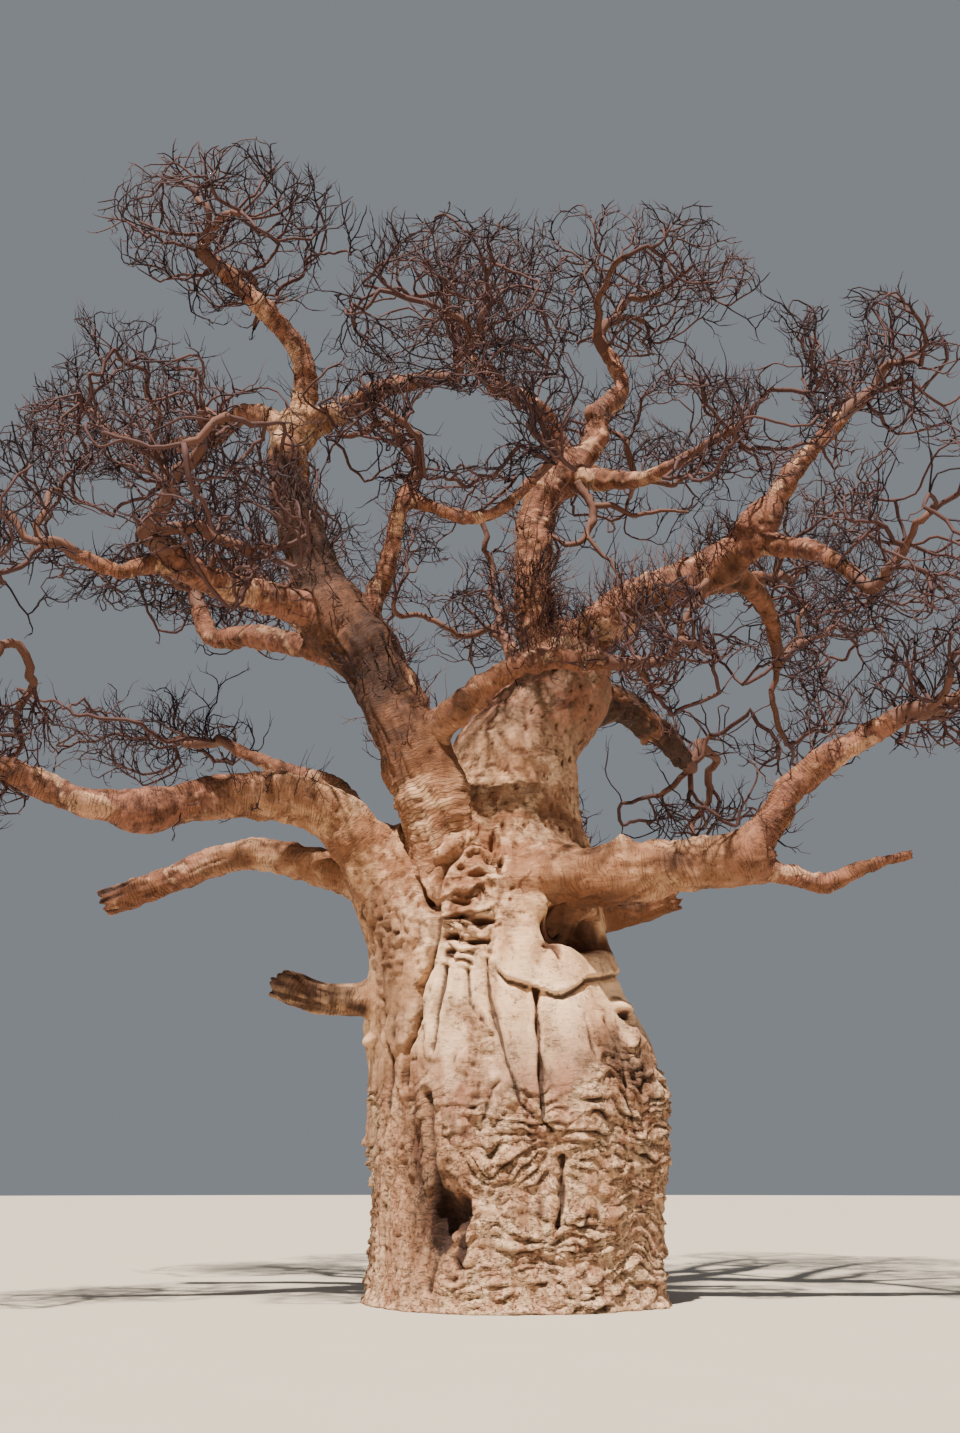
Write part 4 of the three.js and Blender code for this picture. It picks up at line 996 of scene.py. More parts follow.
def make_bough(limb, number, settings, material):
    """A bough with its fillets and its bark: a ring carried along its line, swelling by noise and knots."""
    rows = max(14, round(limb.length / settings.cell)) + 1
    line = spaced(limb.curve, rows)
    reach = along(line)
    girth = limb.radius(reach)
    heading = unit(np.gradient(line, axis=0))
    end = BREAK if limb.broken else DOME
    last, tip = line[-1], girth[-1]
    line = np.vstack([line] + [last + heading[-1] * tip * ahead for ahead, _ in end])
    reach = np.append(reach, [limb.length + tip * ahead for ahead, _ in end])
    girth = np.append(girth, [tip * size for _, size in end])
    heading = np.vstack([heading] + [heading[-1]] * len(end))
    columns = max(12, round(2 * math.pi * limb.radii.max() / settings.cell))
    turn = 2 * math.pi * np.arange(columns) / columns
    ring = ring_ways(heading, carried(heading), turn)
    level = limb.radius(np.minimum(reach, limb.length))
    round_it = [level[:, None] * np.cos(turn), level[:, None] * np.sin(turn)]
    grain = np.stack([*round_it, reach[:, None] + 0 * turn], -1) + number * GRAIN_STEP
    lump = min(1.0, max(0.3, 2.6 * limb.root))
    calm = ease(reach / (1.6 * limb.root)) * ease((limb.length - reach) / 0.5)
    swell = 0.2 * noise(grain, (lump, lump, 1.2 * lump), 41) + 0.1 * noise(grain, 0.4 * lump, 42)
    swell = (swell + knots(limb, number, reach, turn, level)) * calm[:, None]
    grid = line[:, None] + ring * (girth[:, None] * (1 + swell))[..., None]
    hollow = np.zeros(grid.shape[:2])
    for place, wide, rise in BURLS:
        apart = np.linalg.norm(grid - place, axis=2)
        grid += ring * (rise * np.exp(-((apart / wide) ** 2)))[..., None]
        # Painted shade: how deep in the hollow each place lies
        if rise < 0:
            hollow = np.maximum(hollow, np.exp(-((apart / (1.5 * wide)) ** 4)))
    settled, band = settle(limb.name, grid.reshape(-1, 3))
    grid = settled.reshape(grid.shape)
    band = band.reshape(grid.shape[:2])
    size = (level / 0.45)[:, None] ** 0.6
    rings = billow(grain, (0.42, 0.42, 0.1), 43)
    ridges = noise(grain, (0.13, 0.13, 0.7), 44)
    far = outer_share(grid)
    relief = size * ((0.016 + 0.016 * far) * rings + 0.018 * ridges + 0.03 * noise(grain, 0.2, 45))
    relief += size * (0.014 + 0.02 * far) * billow(grain, (0.16, 0.16, 0.12), 50)
    # Painted shade on the limbs of that table, faded in and out over its heights
    dark, low, high = PAINTED_SHADE_LIMBS.get(limb.name, (0, 0, 1))
    dark = dark * ease((grid[..., 2] - low) / 0.7) * (1 - ease((grid[..., 2] - high) / 0.5))
    if limb.name in FURROWED:
        furrow = np.minimum(dark, 1)
        ragged = 0.6 + 0.8 * noise(grain, 0.5, 59)
        relief = relief * (1 - 0.75 * furrow) + furrow * ragged * 0.11 * billow(grain, (0.12, 0.12, 1.2), 57)
    relief = relief * (1 - 0.8 * band) + bark_lumps(grid)
    rung = (reach[:, None] + 0.12 * noise(grain, 0.5, 53) + 0.03 * noise(grain, 0.15, 54)) / RING_SPACING
    ringed = 0.55 * ease(1.3 * noise(grain, (0.3, 0.3, 0.16), 52) + 0.45) * (1 - 0.5 * band)
    if limb.name == RINGED_FOOT:
        foot = ease((7.5 - grid[..., 2]) / 0.5)
        relief += foot * 0.02 * noise(grain, (0.9, 0.9, 0.05), 58)
        ringed = np.maximum(ringed, 0.9 * foot)
    if limb.broken:
        jag = tip * (0.9 * noise(grain, (0.6 * tip, 0.6 * tip, 9.0), 46) + 0.2)
        near_end = ease((reach - limb.length + 0.6 * tip) / (0.6 * tip))
        near_end[-2:] = 0
        grid = grid + heading[:, None] * (near_end[:, None] * jag)[..., None]
        fray = ease((reach - limb.length + 1.4) / 1.4)[:, None]
        fibre = noise(grain, (0.09, 0.09, 0.7), 47)
        relief += fray * 0.3 * tip * fibre
        relief[rows + 1 :] *= 0.4
    relief[rows + len(end) - 1 :] *= 0.3
    points = grid + grid_normals(grid) * relief[..., None]
    points[..., 2] = np.maximum(points[..., 2], 0.01)
    crease = creases(relief, 2, 0.022)
    stain_and_shade = np.clip(1.1 * noise(grain, (0.5, 0.5, 0.8), 48) + 0.4 * noise(grain, 0.16, 49), -1, 1)
    # Painted shade: shaded limbs and the hollow under the low right limb are darkened in the stain and shade
    # field
    stain_and_shade = np.where(stain_and_shade > 0, stain_and_shade * far, stain_and_shade) * (1 - band) - dark * (1 - 0.3 * band) - 1.5 * hollow
    if limb.broken:
        stain_and_shade -= 0.8 * fray * ease(0.5 - 2 * fibre)
        stain_and_shade[rows + 1 :] = -1
        crease[rows + 2 :] = 1
    # Painted light at the fork: its bark is kept paler and less red
    fork = np.exp(-((np.linalg.norm(points - PAINTED_LIGHT_FORK[0], axis=-1) / PAINTED_LIGHT_FORK[1]) ** 4))
    fields = {
        "crease": crease,
        "grey": np.zeros(rung.shape),
        "stain_and_shade": stain_and_shade,
        "level": rung,
        "lip": ringed,
        "outer": outer_share(points) * (1 - 0.9 * fork),
    }
    bark_piece(limb.name, points, fields, grain, material)


def lehmer(seed):
    """Random numbers between 0 and 1, the same on every run, as the part draws them: each is the one before
    it times 48271, less whole multiples of a prime."""
    prime = 2**31 - 1
    state = seed
    while True:
        state = state * 48271 % prime
        yield state / prime


MASS_MIDDLES = np.array([mass[2] for mass in MASSES], float)
MASS_HALVES = np.array([mass[3] for mass in MASSES], float)
COARSE = {name: spaced(limb.curve, BOUGH_STEPS + 1) for name, limb in LIMBS.items()}
COARSE_GIRTHS = {
    name: LIMBS[name].radius(along(line) * LIMBS[name].length / along(line)[-1])
    for name, line in COARSE.items()
}
STRETCH_OWNERS = np.array([name for name in COARSE for _ in range(BOUGH_STEPS)])
STRETCH_STARTS = np.vstack([line[:-1] for line in COARSE.values()])
STRETCH_ENDS = np.vstack([line[1:] for line in COARSE.values()])
STRETCH_RADII = np.concatenate([np.maximum(girth[:-1], girth[1:]) for girth in COARSE_GIRTHS.values()])


def in_own_space(index, places, edge=1 + SPACE_MARGIN):
    """True where places are in a mass's own space: inside its ellipsoid, nearer its middle than any
    other's."""
    shares = np.linalg.norm((places[:, None] - MASS_MIDDLES) / MASS_HALVES, axis=2)
    own = shares[:, index]
    return (own <= edge) & (np.delete(shares, index, axis=1).min(axis=1) > own + SPACE_MARGIN)


def stretch_gaps(start, end, starts, ends):
    """Least distance between one straight stretch and each of several, by the usual two clamped shares."""
    u, v, w = end - start, ends - starts, start - starts
    uu, uv, vv, uw, vw = u @ u, v @ u, (v * v).sum(1), w @ u, (v * w).sum(1)
    skew = uu * vv - uv * uv
    s = np.where(skew > 1e-9, np.clip((uv * vw - vv * uw) / np.maximum(skew, 1e-9), 0, 1), 0)
    t = np.clip((uv * s + vw) / vv, 0, 1)
    s = np.clip((uv * t - uw) / uu, 0, 1)
    return np.linalg.norm(w + s[:, None] * u - t[:, None] * v, axis=1)


def first_growth(index, others):
    """The part's rule for a mass of twigs, and its nodes: places, and the node that each grows from.

    Targets stand all over the skin of the space. In each round every node that is the nearest one to some
    target sends a twig towards the middle of those targets, and a target within reach gets its own tip. A
    twig keeps some of the way that its bearer was going, and one that would turn back sharply, leave the
    space, or touch a limb or another mass's twig, is skipped."""
    _, bough, middle, half = MASSES[index]
    random = lehmer(SEED + SEED_STRIDE * index)
    line = COARSE[bough]
    tip, heading = line[-1], unit(line[-1] - line[-2])
    places = [tip - heading * STEM_SINK, tip + heading * STRIDE * FIRST_STRIDE]
    parents = [-1, 0]
    foreign = STRETCH_OWNERS != bough
    starts = np.vstack([STRETCH_STARTS[foreign]] + [other[0] for other in others])
    ends = np.vstack([STRETCH_ENDS[foreign]] + [other[1] for other in others])
    rooms = np.concatenate([STRETCH_RADII[foreign] + LIMB_ROOM] + [other[2] + TWIG_ROOM for other in others])

    def is_free(start, end):
        inside = in_own_space(index, end[None])[0]
        return inside and bool((stretch_gaps(start, end, starts, ends) > rooms).all())

    def heading_at(node):
        return unit(places[node] - places[parents[node]])

    live = []
    for i in range(TARGETS):
        up = 1 - (2 * i + 1) / TARGETS
        out = math.sqrt(1 - up * up)
        ball = np.array((out * math.cos(GOLDEN_ANGLE * i), out * math.sin(GOLDEN_ANGLE * i), up))
        target = ball * half + middle
        if in_own_space(index, target[None])[0]:
            live.append(target)
    for _ in range(MOST_ROUNDS):
        if not live:
            break
        pulls, waiting, grown = {}, [], False
        for target in live:
            far = np.linalg.norm(np.array(places[1:]) - target, axis=1)
            nearest = int(far.argmin()) + 1
            if far[nearest - 1] < REACH * STRIDE:
                turn = unit(target - places[nearest]) @ heading_at(nearest)
                if turn >= SHARPEST_TURN and is_free(places[nearest], target):
                    places.append(target)
                    parents.append(nearest)
            else:
                pulls.setdefault(nearest, []).append(target)
                waiting.append(target)
        live = waiting
        for origin, pull in pulls.items():
            start = places[origin]
            way = sum(unit(target - start) for target in pull)
            if np.linalg.norm(way) < BALANCED_PULL * len(pull):
                way = pull[0] - start
            way = unit(way) + MOMENTUM * heading_at(origin)
            way = way + SWAY * np.array([2 * next(random) - 1 for _ in range(3)])
            place = start + unit(way) * STRIDE
            crowded = np.linalg.norm(np.array(places) - place, axis=1).min() < CROWDED * STRIDE
            if crowded or (origin != 1 and not is_free(start, place)):
                ahead = (start + pull[0]) / 2
                live = [target for target in live if target is not pull[0]]
                if origin == 1 or is_free(start, ahead):
                    places.append(ahead)
                    parents.append(origin)
                    live.append(pull[0])
                    grown = True
            else:
                places.append(place)
                parents.append(origin)
                grown = True
        if not grown and not pulls:
            break
    return np.array(places), np.array(parents)


def loads_of(parents):
    """How many tips each node bears."""
    load = np.zeros(len(parents))
    for i in range(len(parents) - 1, 0, -1):
        if load[i] == 0:
            load[i] = 1
        load[parents[i]] += load[i]
    return load


def lines_of(parents, load):
    """Lines of nodes from each fork to a tip: the twig with most tips carries on, and the others start
    their own lines."""
    heirs = np.full(len(parents), -1)
    for i in range(1, len(parents)):
        heir = heirs[parents[i]]
        if heir < 0 or load[i] > load[heir]:
            heirs[parents[i]] = i
    lines = []
    for i in range(1, len(parents)):
        if parents[i] > 0 and heirs[parents[i]] == i:
            continue
        line = [parents[i], i]
        while heirs[line[-1]] >= 0:
            line.append(heirs[line[-1]])
        lines.append(line)
    return lines, heirs


def closer_nodes(places, parents, spacing):
    """The same growth with nodes closer together, on a smooth curve through each line's nodes."""
    lines, _ = lines_of(parents, loads_of(parents))
    found = {0: 0}
    new_places = [places[:1]]
    new_parents = [np.array([-1])]
    count = 1
    for line in lines:
        part = places[line]
        steps = max(1, round(float(np.linalg.norm(np.diff(part, axis=0), axis=1).mean()) / spacing))
        curve = smooth_through(part, steps, TWIG_SLACK)[1:]
        new_places.append(curve)
        new_parents.append(np.concatenate([[found[line[0]]], np.arange(count, count + len(curve) - 1)]))
        for step, node in enumerate(line[1:], 1):
            found[node] = count + step * steps - 1
        count += len(curve)
    return np.vstack(new_places), np.concatenate(new_parents)


def seen(places):
    """Where places stand in the picture from the station: middle + scale x / depth, and middle - scale
    up / depth."""
    x, y, z = np.moveaxis(places - np.array(STATION), -1, 0)
    depth = y * math.cos(PITCH) + z * math.sin(PITCH)
    rise = z * math.cos(PITCH) - y * math.sin(PITCH)
    return VIEW_MIDDLE[0] + VIEW_SCALE * x / depth, VIEW_MIDDLE[1] - VIEW_SCALE * rise / depth


def in_crown(places, share):
    """True where twigs may stand in that picture: outside a share of each patch of sky, and below the top."""
    across, down = seen(places)
    least = np.full(across.shape, np.inf)
    for x, y, wide, tall in SKIES:
        least = np.minimum(least, ((across - x) / wide) ** 2 + ((down - y) / tall) ** 2)
    ragged = noise(places, 0.6, 62)
    top = np.interp(across, *np.transpose(CROWN_EDGE)) + EDGE_ROOM + EDGE_RAGGED * ragged
    return (least > share**2 * (1 + 0.6 * ragged)) & (down > top)


def pruned(places, parents):
    """Growth without the nodes above the crown's top, and without what they bear."""
    kept = in_crown(places, 0.0)
    kept[:2] = True
    for node in range(2, len(places)):
        kept[node] &= kept[parents[node]]
    numbers = np.cumsum(kept) - 1
    bearers = parents[kept]
    return places[kept], np.where(bearers < 0, -1, numbers[bearers])


def spread_targets(index, count, seed):
    """Places all through a mass's space, from a sequence that fills a box evenly (its steps are the powers
    of 1 / 1.2207), thinned by noise into clumps with open air between them."""
    _, _, middle, half = MASSES[index]
    ratio = 1.2207440846
    steps = np.array((1 / ratio, 1 / ratio**2, 1 / ratio**3))
    ball = (0.5 + np.arange(1, 4 * count)[:, None] * steps) % 1 * 2 - 1
    share = np.linalg.norm(ball, axis=1)
    places = ball * half + middle
    clumps = noise(places, 0.85, seed + index)
    edge = 0.9 + 0.22 * noise(places, 0.9, 61)
    keep = (share < edge) & (share > 0.1) & (clumps > -0.25 + 0.45 * ease((share - 0.6) / 0.4))
    places = places[keep]
    places = places[in_own_space(index, places, TARGET_EDGE)]
    places = places[in_box(places, 0.15)][:count]
    return places[in_crown(places, TARGET_SKY)]


def in_box(places, room):
    """True where places are inside the part's own box, less a margin."""
    return (places > np.array(cad_low) + room).all(1) & (places < np.array(cad_high) - room).all(1)


def carry_on(index, places, parents, rule, seed):
    """The part's rule carried on with a shorter stride towards many targets all through the space. A twig
    also keeps to the way it was going, and rises a little."""
    draw = np.random.default_rng(seed)
    targets = spread_targets(index, rule["targets"], seed % 97)
    foreign = STRETCH_OWNERS != MASSES[index][1]
    limb_starts, limb_steps = STRETCH_STARTS[foreign], (STRETCH_ENDS - STRETCH_STARTS)[foreign]
    limb_squares, limb_rooms = (limb_steps**2).sum(1), STRETCH_RADII[foreign] + FINE_LIMB_ROOM
    headings = unit(places - places[np.maximum(parents, 0)] + 1e-6)
    bearers = np.bincount(parents[1:], minlength=len(places))
    nearest = np.zeros(len(targets), int)
    gaps = np.full(len(targets), np.inf)
    newest = np.arange(1, len(places))
    for _ in range(MOST_FINE_ROUNDS):
        apart = targets[:, None] - places[newest]
        far = np.linalg.norm(apart, axis=2)
        ahead = (apart * headings[newest]).sum(2) / np.maximum(far, 1e-6)
        felt = far * (1 + FACING * (1 - ahead) / 2)
        best = felt.argmin(1)
        least = felt[np.arange(len(targets)), best]
        closer = least < gaps
        nearest[closer], gaps[closer] = newest[best[closer]], least[closer]
        keep = far.min(1) > rule["reached"]
        targets, nearest, gaps = targets[keep], nearest[keep], gaps[keep]
        pulling = gaps < rule["sight"]
        if not pulling.any():
            break
        origins, group = np.unique(nearest[pulling], return_inverse=True)
        way = np.zeros((len(origins), 3))
        np.add.at(way, group, unit(targets[pulling] - places[nearest[pulling]]))
        way = unit(way) + rule["momentum"] * headings[origins] + rule["lift"] * UP
        way = way + rule["away"] * unit(places[origins] - HEART)
        way = unit(way + rule["sway"] * draw.uniform(-1, 1, way.shape))
        tips = places[origins] + way * rule["stride"]
        apart = (tips**2).sum(1)[:, None] + (places**2).sum(1) - 2 * tips @ places.T
        apart[np.arange(len(origins)), origins] = np.inf
        free = (apart.min(1) > (CROWDED * rule["stride"]) ** 2) & in_own_space(index, tips, NODE_EDGE)
        free &= in_box(tips, BOX_ROOM) & in_crown(tips, NODE_SKY) & (bearers[origins] < MOST_AT_A_NODE)
        turn = (way * headings[origins]).sum(1)
        free &= turn > np.where(bearers[origins] > 0, rule["side_turn"], rule["turn"])
        share = np.clip(((tips[:, None] - limb_starts) * limb_steps).sum(2) / limb_squares, 0, 1)
        clear = np.linalg.norm(tips[:, None] - limb_starts - share[..., None] * limb_steps, axis=2)
        free &= (clear > limb_rooms).all(1)
        stuck = np.isin(nearest, origins[~free]) & (gaps < rule["sight"])
        targets, nearest, gaps = targets[~stuck], nearest[~stuck], gaps[~stuck]
        if not len(targets) and not free.any():
            break
        if not free.any():
            continue
        newest = np.arange(len(places), len(places) + int(free.sum()))
        places = np.vstack([places, tips[free]])
        parents = np.concatenate([parents, origins[free]])
        headings = np.vstack([headings, way[free]])
        bearers[origins[free]] += 1
        bearers = np.concatenate([bearers, np.zeros(len(newest), int)])
        if not len(targets):
            break
    return places, parents


def crooked(places, root):
    """Places moved a little by a noise in each direction, so that limbs bend this way and that. The root
    stays where it is."""
    weight = ease(np.linalg.norm(places - root, axis=1) / 0.9)[:, None]
    moved = places + weight * (0.2 * shoves(places, 0.6, 70) + 0.08 * shoves(places, 0.22, 80))
    return np.clip(moved, np.array(cad_low) + BOX_ROOM, np.array(cad_high) - BOX_ROOM)


def tubes(points, radii, starts, sides):
    """Closed tubes along lines of points laid end to end, each line from one start to the next: a ring at
    each point, its section carried along without twisting, and a flat face over each end."""
    count = len(points)
    ends = np.append(starts[1:], count) - 1
    before = np.arange(count) - 1
    after = np.arange(count) + 1
    before[starts] = starts
    after[ends] = ends
    heading = unit(points[after] - points[before])
    across = np.zeros_like(points)
    across[starts] = np.eye(3)[np.abs(heading[starts]).argmin(1)]
    lengths = ends - starts
    for step in range(int(lengths.max()) + 1):
        here = starts[lengths >= step] + step
        previous = across[here] if step == 0 else across[here - 1]
        lean = (previous * heading[here]).sum(1, keepdims=True)
        across[here] = unit(previous - lean * heading[here])
    turn = 2 * math.pi * np.arange(sides) / sides
    rings = points[:, None] + ring_ways(heading, across, turn) * radii[:, None, None]
    inner = np.ones(count, bool)
    inner[ends] = False
    low = np.flatnonzero(inner)[:, None] * sides
    side = np.arange(sides)
    after_side = (side + 1) % sides
    quads = np.stack([low + side, low + after_side, low + sides + after_side, low + sides + side], -1)
    caps = np.vstack([starts[:, None] * sides + side[::-1], ends[:, None] * sides + side])
    return rings.reshape(-1, 3), quads.reshape(-1, 4), caps


class Bundle:
    """Tubes of several sorts gathered into the points, faces and materials of one mesh."""

    def __init__(self):
        self.points, self.faces, self.indices, self.count = [], {}, {}, 0

    def add(self, lines, radii, sides, shades):
        """lines and radii are lists of arrays, one for each tube; shades gives each tube's material."""
        if not lines:
            return
        sizes = np.array([len(line) for line in lines])
        starts = np.concatenate([[0], np.cumsum(sizes)[:-1]])
        points, quads, caps = tubes(np.vstack(lines), np.concatenate(radii), starts, sides)
        shades = np.asarray(shades)
        quad_shades = np.repeat(np.repeat(shades, sizes - 1), sides)
        for faces, shade in ((quads, quad_shades), (caps, np.tile(shades, 2))):
            corners = faces.shape[1]
            self.faces.setdefault(corners, []).append(faces + self.count)
            self.indices.setdefault(corners, []).append(shade)
        self.points.append(points)
        self.count += len(points)

    def build(self, name, node, materials):
        """The mesh object of all the tubes."""
        faces = [np.vstack(group) for group in self.faces.values()]
        indices = np.concatenate([np.concatenate(group) for group in self.indices.values()])
        return new_piece(name, node, np.vstack(self.points), faces, materials, indices)


def shoots(bases, ways, lengths, thick, steps, draw):
    """Short crooked shoots: base + length (t way + t^2 bend / 2), where the bend rises and strays a little,
    and each point after the first is shoved a little to one side."""
    t = np.linspace(0, 1, steps + 1)[:, None]
    bend = 0.9 * UP + 0.8 * draw.uniform(-1, 1, bases.shape)
    kinks = 0.16 / steps * draw.normal(size=(len(bases), steps + 1, 3))
    kinks[:, 0] = 0
    lines = t * ways[:, None] + 0.5 * t**2 * bend[:, None] + kinks
    lines = bases[:, None] + lengths[:, None, None] * lines
    radii = thick[:, None] * (1 - 0.6 * t[:, 0])
    return list(lines), list(radii)


def leaning(ways, lean, draw):
    """Directions that lean from given ones by about a given amount, each to its own side."""
    return unit(ways + lean * unit(draw.normal(size=ways.shape)))


# Twig shades: stout, middling (1) and the slim ones that are dealt out by spray. Then the sides of the tubes
# of each, the radii at which the next begins, a tip's radius as a share of its tube's, and the radius under
# which a twig keeps to its bearer's spray
STOUT, SLIM = 0, 2
SLIM_SHADES = 3
TUBE_SIDES = (8, 5, 3)
TUBE_BREAKS = (0.045, 0.017)
TAPERED_TIP = 0.55
SPRAY_RADIUS = 0.028

# Shoots at the tips and spurs on slim twigs: how far each leans, its least and greatest length, and its
# steps. Then how slim a twig is that bears spurs
TIP_SHOOTS = (0.6, 0.1, 0.3, 3)
SPURS = (1.1, 0.06, 0.18, 2)
SPUR_RADIUS = 0.02


def twig_tubes(places, lines, radii, spray):
    """The lines of a mass cut where they get slimmer: for each sort of tube its points, radii and shades."""
    sorts = [([], [], []) for _ in TUBE_SIDES]
    for line in lines:
        line = np.array(line)
        girth = radii[line]
        girth[0] = min(1.2 * girth[1], girth[0])
        breaks = [max(int((girth > size).sum()) - 1, 0) for size in TUBE_BREAKS]
        for sort, (first, last) in enumerate(zip([0, *breaks], [*breaks, len(line) - 1])):
            if last > first:
                part = girth[first : last + 1].copy()
                if last == len(line) - 1:
                    part[-1] *= TAPERED_TIP
                shade = sort if sort < SLIM else SLIM + spray[line[last]]
                for kept, value in zip(sorts[sort], (places[line[first : last + 1]], part, shade)):
                    kept.append(value)
    return sorts


def make_mass(index, growth, settings, materials):
    """A mass of bare twigs: the part's growth carried on to finer twigs, then to short upturned shoots. A
    twig's radius grows from a tip's to the stem's with a power of the share of all tips that it bears."""
    name, bough, _, _ = MASSES[index]
    limb = LIMBS[bough]
    seed = SEED + SEED_STRIDE * index
    places, parents = pruned(*growth)
    for number, rule in enumerate(FINER):
        places, parents = closer_nodes(places, parents, rule["spacing"])
        if number == len(FINER) - 1:
            places = crooked(places, places[0])
        places, parents = carry_on(index, places, parents, rule, seed + number)
    load = loads_of(parents)
    lines, heirs = lines_of(parents, load)
    inner = np.flatnonzero((heirs >= 0) & (parents >= 0) & (np.arange(len(parents)) > 2))
    middle = (places[parents[inner]] + places[heirs[inner]]) / 2
    places[inner] = 0.85 * places[inner] + 0.15 * middle
    load[0] = load[1]
    radii = settings.tip_radius + (0.97 * limb.tip - settings.tip_radius) * (load / load[1]) ** 0.6
    draw = np.random.default_rng(seed + 2)
    spray = np.zeros(len(places), int)
    hand = draw.integers(0, SLIM_SHADES, len(places))
    for i in range(1, len(places)):
        spray[i] = hand[i] if radii[parents[i]] > SPRAY_RADIUS else spray[parents[i]]
    bundle = Bundle()
    for sides, (cut, girths, shades) in zip(TUBE_SIDES, twig_tubes(places, lines, radii, spray)):
        bundle.add(cut, girths, sides, shades)
    ways = unit(places - places[np.maximum(parents, 0)] + 1e-6)
    tips = np.flatnonzero(heirs < 0)
    tips = np.repeat(tips[tips > 0], 2)
    tips = tips[draw.uniform(size=len(tips)) < 0.9]
    slim = np.flatnonzero((radii < SPUR_RADIUS) & (heirs >= 0))
    slim = slim[draw.uniform(size=len(slim)) < settings.spur_share]
    for chosen, (lean, low, high, steps) in ((tips, TIP_SHOOTS), (slim, SPURS)):
        aims = leaning(ways[chosen] + 0.3 * UP, lean, draw)
        lengths = draw.uniform(low, high, len(chosen))
        ends = places[chosen] + (aims + 0.6 * UP) * lengths[:, None]
        inside = in_box(ends, BOX_ROOM) & in_crown(ends, SHOOT_SKY)
        chosen, aims, lengths = chosen[inside], aims[inside], lengths[inside]
        thick = np.minimum(radii[chosen], settings.tip_radius) * 0.85
        shoot_lines, shoot_radii = shoots(places[chosen], aims, lengths, thick, steps, draw)
        bundle.add(shoot_lines, shoot_radii, TUBE_SIDES[SLIM], SLIM + spray[chosen])
    return bundle.build(name + "_fine", name, materials)


def make_sprigs(settings, materials):
    """Short crooked twigs that stand straight on the big boughs: stems out of the bark, each with side
    shoots. Then the slim arms that hang under the fork, with shoots of their own."""
    draw = np.random.default_rng(SPRIG_SEED)
    bundle = Bundle()
    for name, low, high, count in SPRIG_PLACES:
        limb = LIMBS[name]
        count = round(count * settings.sprigs)
        reach = draw.uniform(low, high, count) * limb.length
        centre = at_lengths(limb.line, reach)
        heading = unit(at_lengths(limb.line, reach + 0.05) - centre + 1e-6)
        out = draw.normal(size=centre.shape) + 0.2 * UP - 0.6 * np.eye(3)[1]
        out = unit(out - (out * heading).sum(1, keepdims=True) * heading)
        bases = centre + out * limb.radius(reach)[:, None] * 0.85
        sideways = np.cross(heading, out) * draw.choice((-1.0, 1.0), (count, 1))
        ways = leaning(0.7 * out + 0.2 * heading + 0.7 * sideways, 0.9, draw)
        sizes = draw.uniform(0.15, 0.55, count)
        thick = draw.uniform(0.007, 0.014, count)
        shade = np.maximum(STOUT + draw.integers(-1, 2 + SLIM_SHADES, count), STOUT)
        lines, radii = shoots(bases, ways, sizes, thick, 4, draw)
        bundle.add(lines, radii, 4, shade)
        for node in (2, 3):
            starts = np.array([line[node] for line in lines])
            aims = leaning(unit(starts - bases), 0.9, draw)
            lengths = sizes * draw.uniform(0.3, 0.7, count)
            bundle.add(*shoots(starts, aims, lengths, 0.6 * thick, 3, draw), 3, shade)
    for points, root, tip in HANGING_ARMS:
        line = smooth_through(points, 8, 0.6)
        line = line + 0.03 * shoves(line, 0.2, 90)
        bundle.add([line], [np.linspace(root, tip, len(line))], 8, [STOUT])
        starts = line[draw.integers(6, len(line), ARM_SHOOTS)]
        aims = leaning(0.3 * UP + 0 * starts, 1.0, draw)
        lengths = draw.uniform(0.2, 0.5, ARM_SHOOTS)
        thick = np.full(ARM_SHOOTS, 0.012)
        bundle.add(*shoots(starts, aims, lengths, thick, 4, draw), 4, np.full(ARM_SHOOTS, SLIM))
    return bundle.build("bough_sprigs", None, materials)


# Where sprigs stand: bough, from and to as shares of its length, how many
SPRIG_SEED = 4242
SPRIG_PLACES = [
    ("centre_bough", 0.05, 0.5, 420), ("centre_bough", 0.5, 1.0, 50), ("right_bough", 0.04, 0.5, 460),
    ("right_bough", 0.5, 0.95, 140), ("left_leader", 0.4, 0.95, 170), ("left_upright", 0.1, 0.95, 80),
    ("crossing_arm", 0.55, 1.0, 60), ("middle_left_arm", 0.1, 0.9, 50), ("low_left_inner", 0.5, 0.95, 40),
    ("low_right_outer", 0.1, 0.9, 50), ("slim_upright", 0.2, 0.9, 40), ("centre_crown", 0.1, 0.9, 50),
    ("centre_left_arm", 0.1, 0.9, 40), ("top_left_bough", 0.1, 0.9, 50), ("top_middle_bough", 0.1, 0.9, 40),
    ("back_bough", 0.2, 0.9, 60), ("back_left_bough", 0.2, 0.9, 60), ("back_right_bough", 0.3, 0.9, 40),
    ("right_back_arm", 0.3, 0.9, 40),
]

# Slim crooked arms that hang under the right arm of the fork: points along each, its radius at both ends, and
# how many shoots each has
ARM_SHOOTS = 14
HANGING_ARMS = [
    ([(1.15, 0.15, 12.85), (1.41, 0.1, 12.37), (1.39, 0.1, 12.05), (1.22, 0.1, 11.75), (0.95, 0.1, 11.65),
      (0.7, 0.1, 11.85)], 0.09, 0.03),
    ([(1.36, 0.1, 12.1), (1.31, 0, 11.73), (1.65, 0, 11.3), (1.8, 0, 11.0)], 0.05, 0.02),
    ([(1.4, 0.1, 12.36), (1.73, 0, 12.33), (2.07, 0, 12.15), (2.65, 0, 12.24), (3.0, 0, 12.2)], 0.06, 0.02),
]


def linear(red, green, blue):
    """A colour of 0 to 255 values as the straight values that shaders take."""
    return tuple(
        value / 255 / 12.92 if value <= 10 else ((value / 255 + 0.055) / 1.055) ** 2.4
        for value in (red, green, blue)
    )


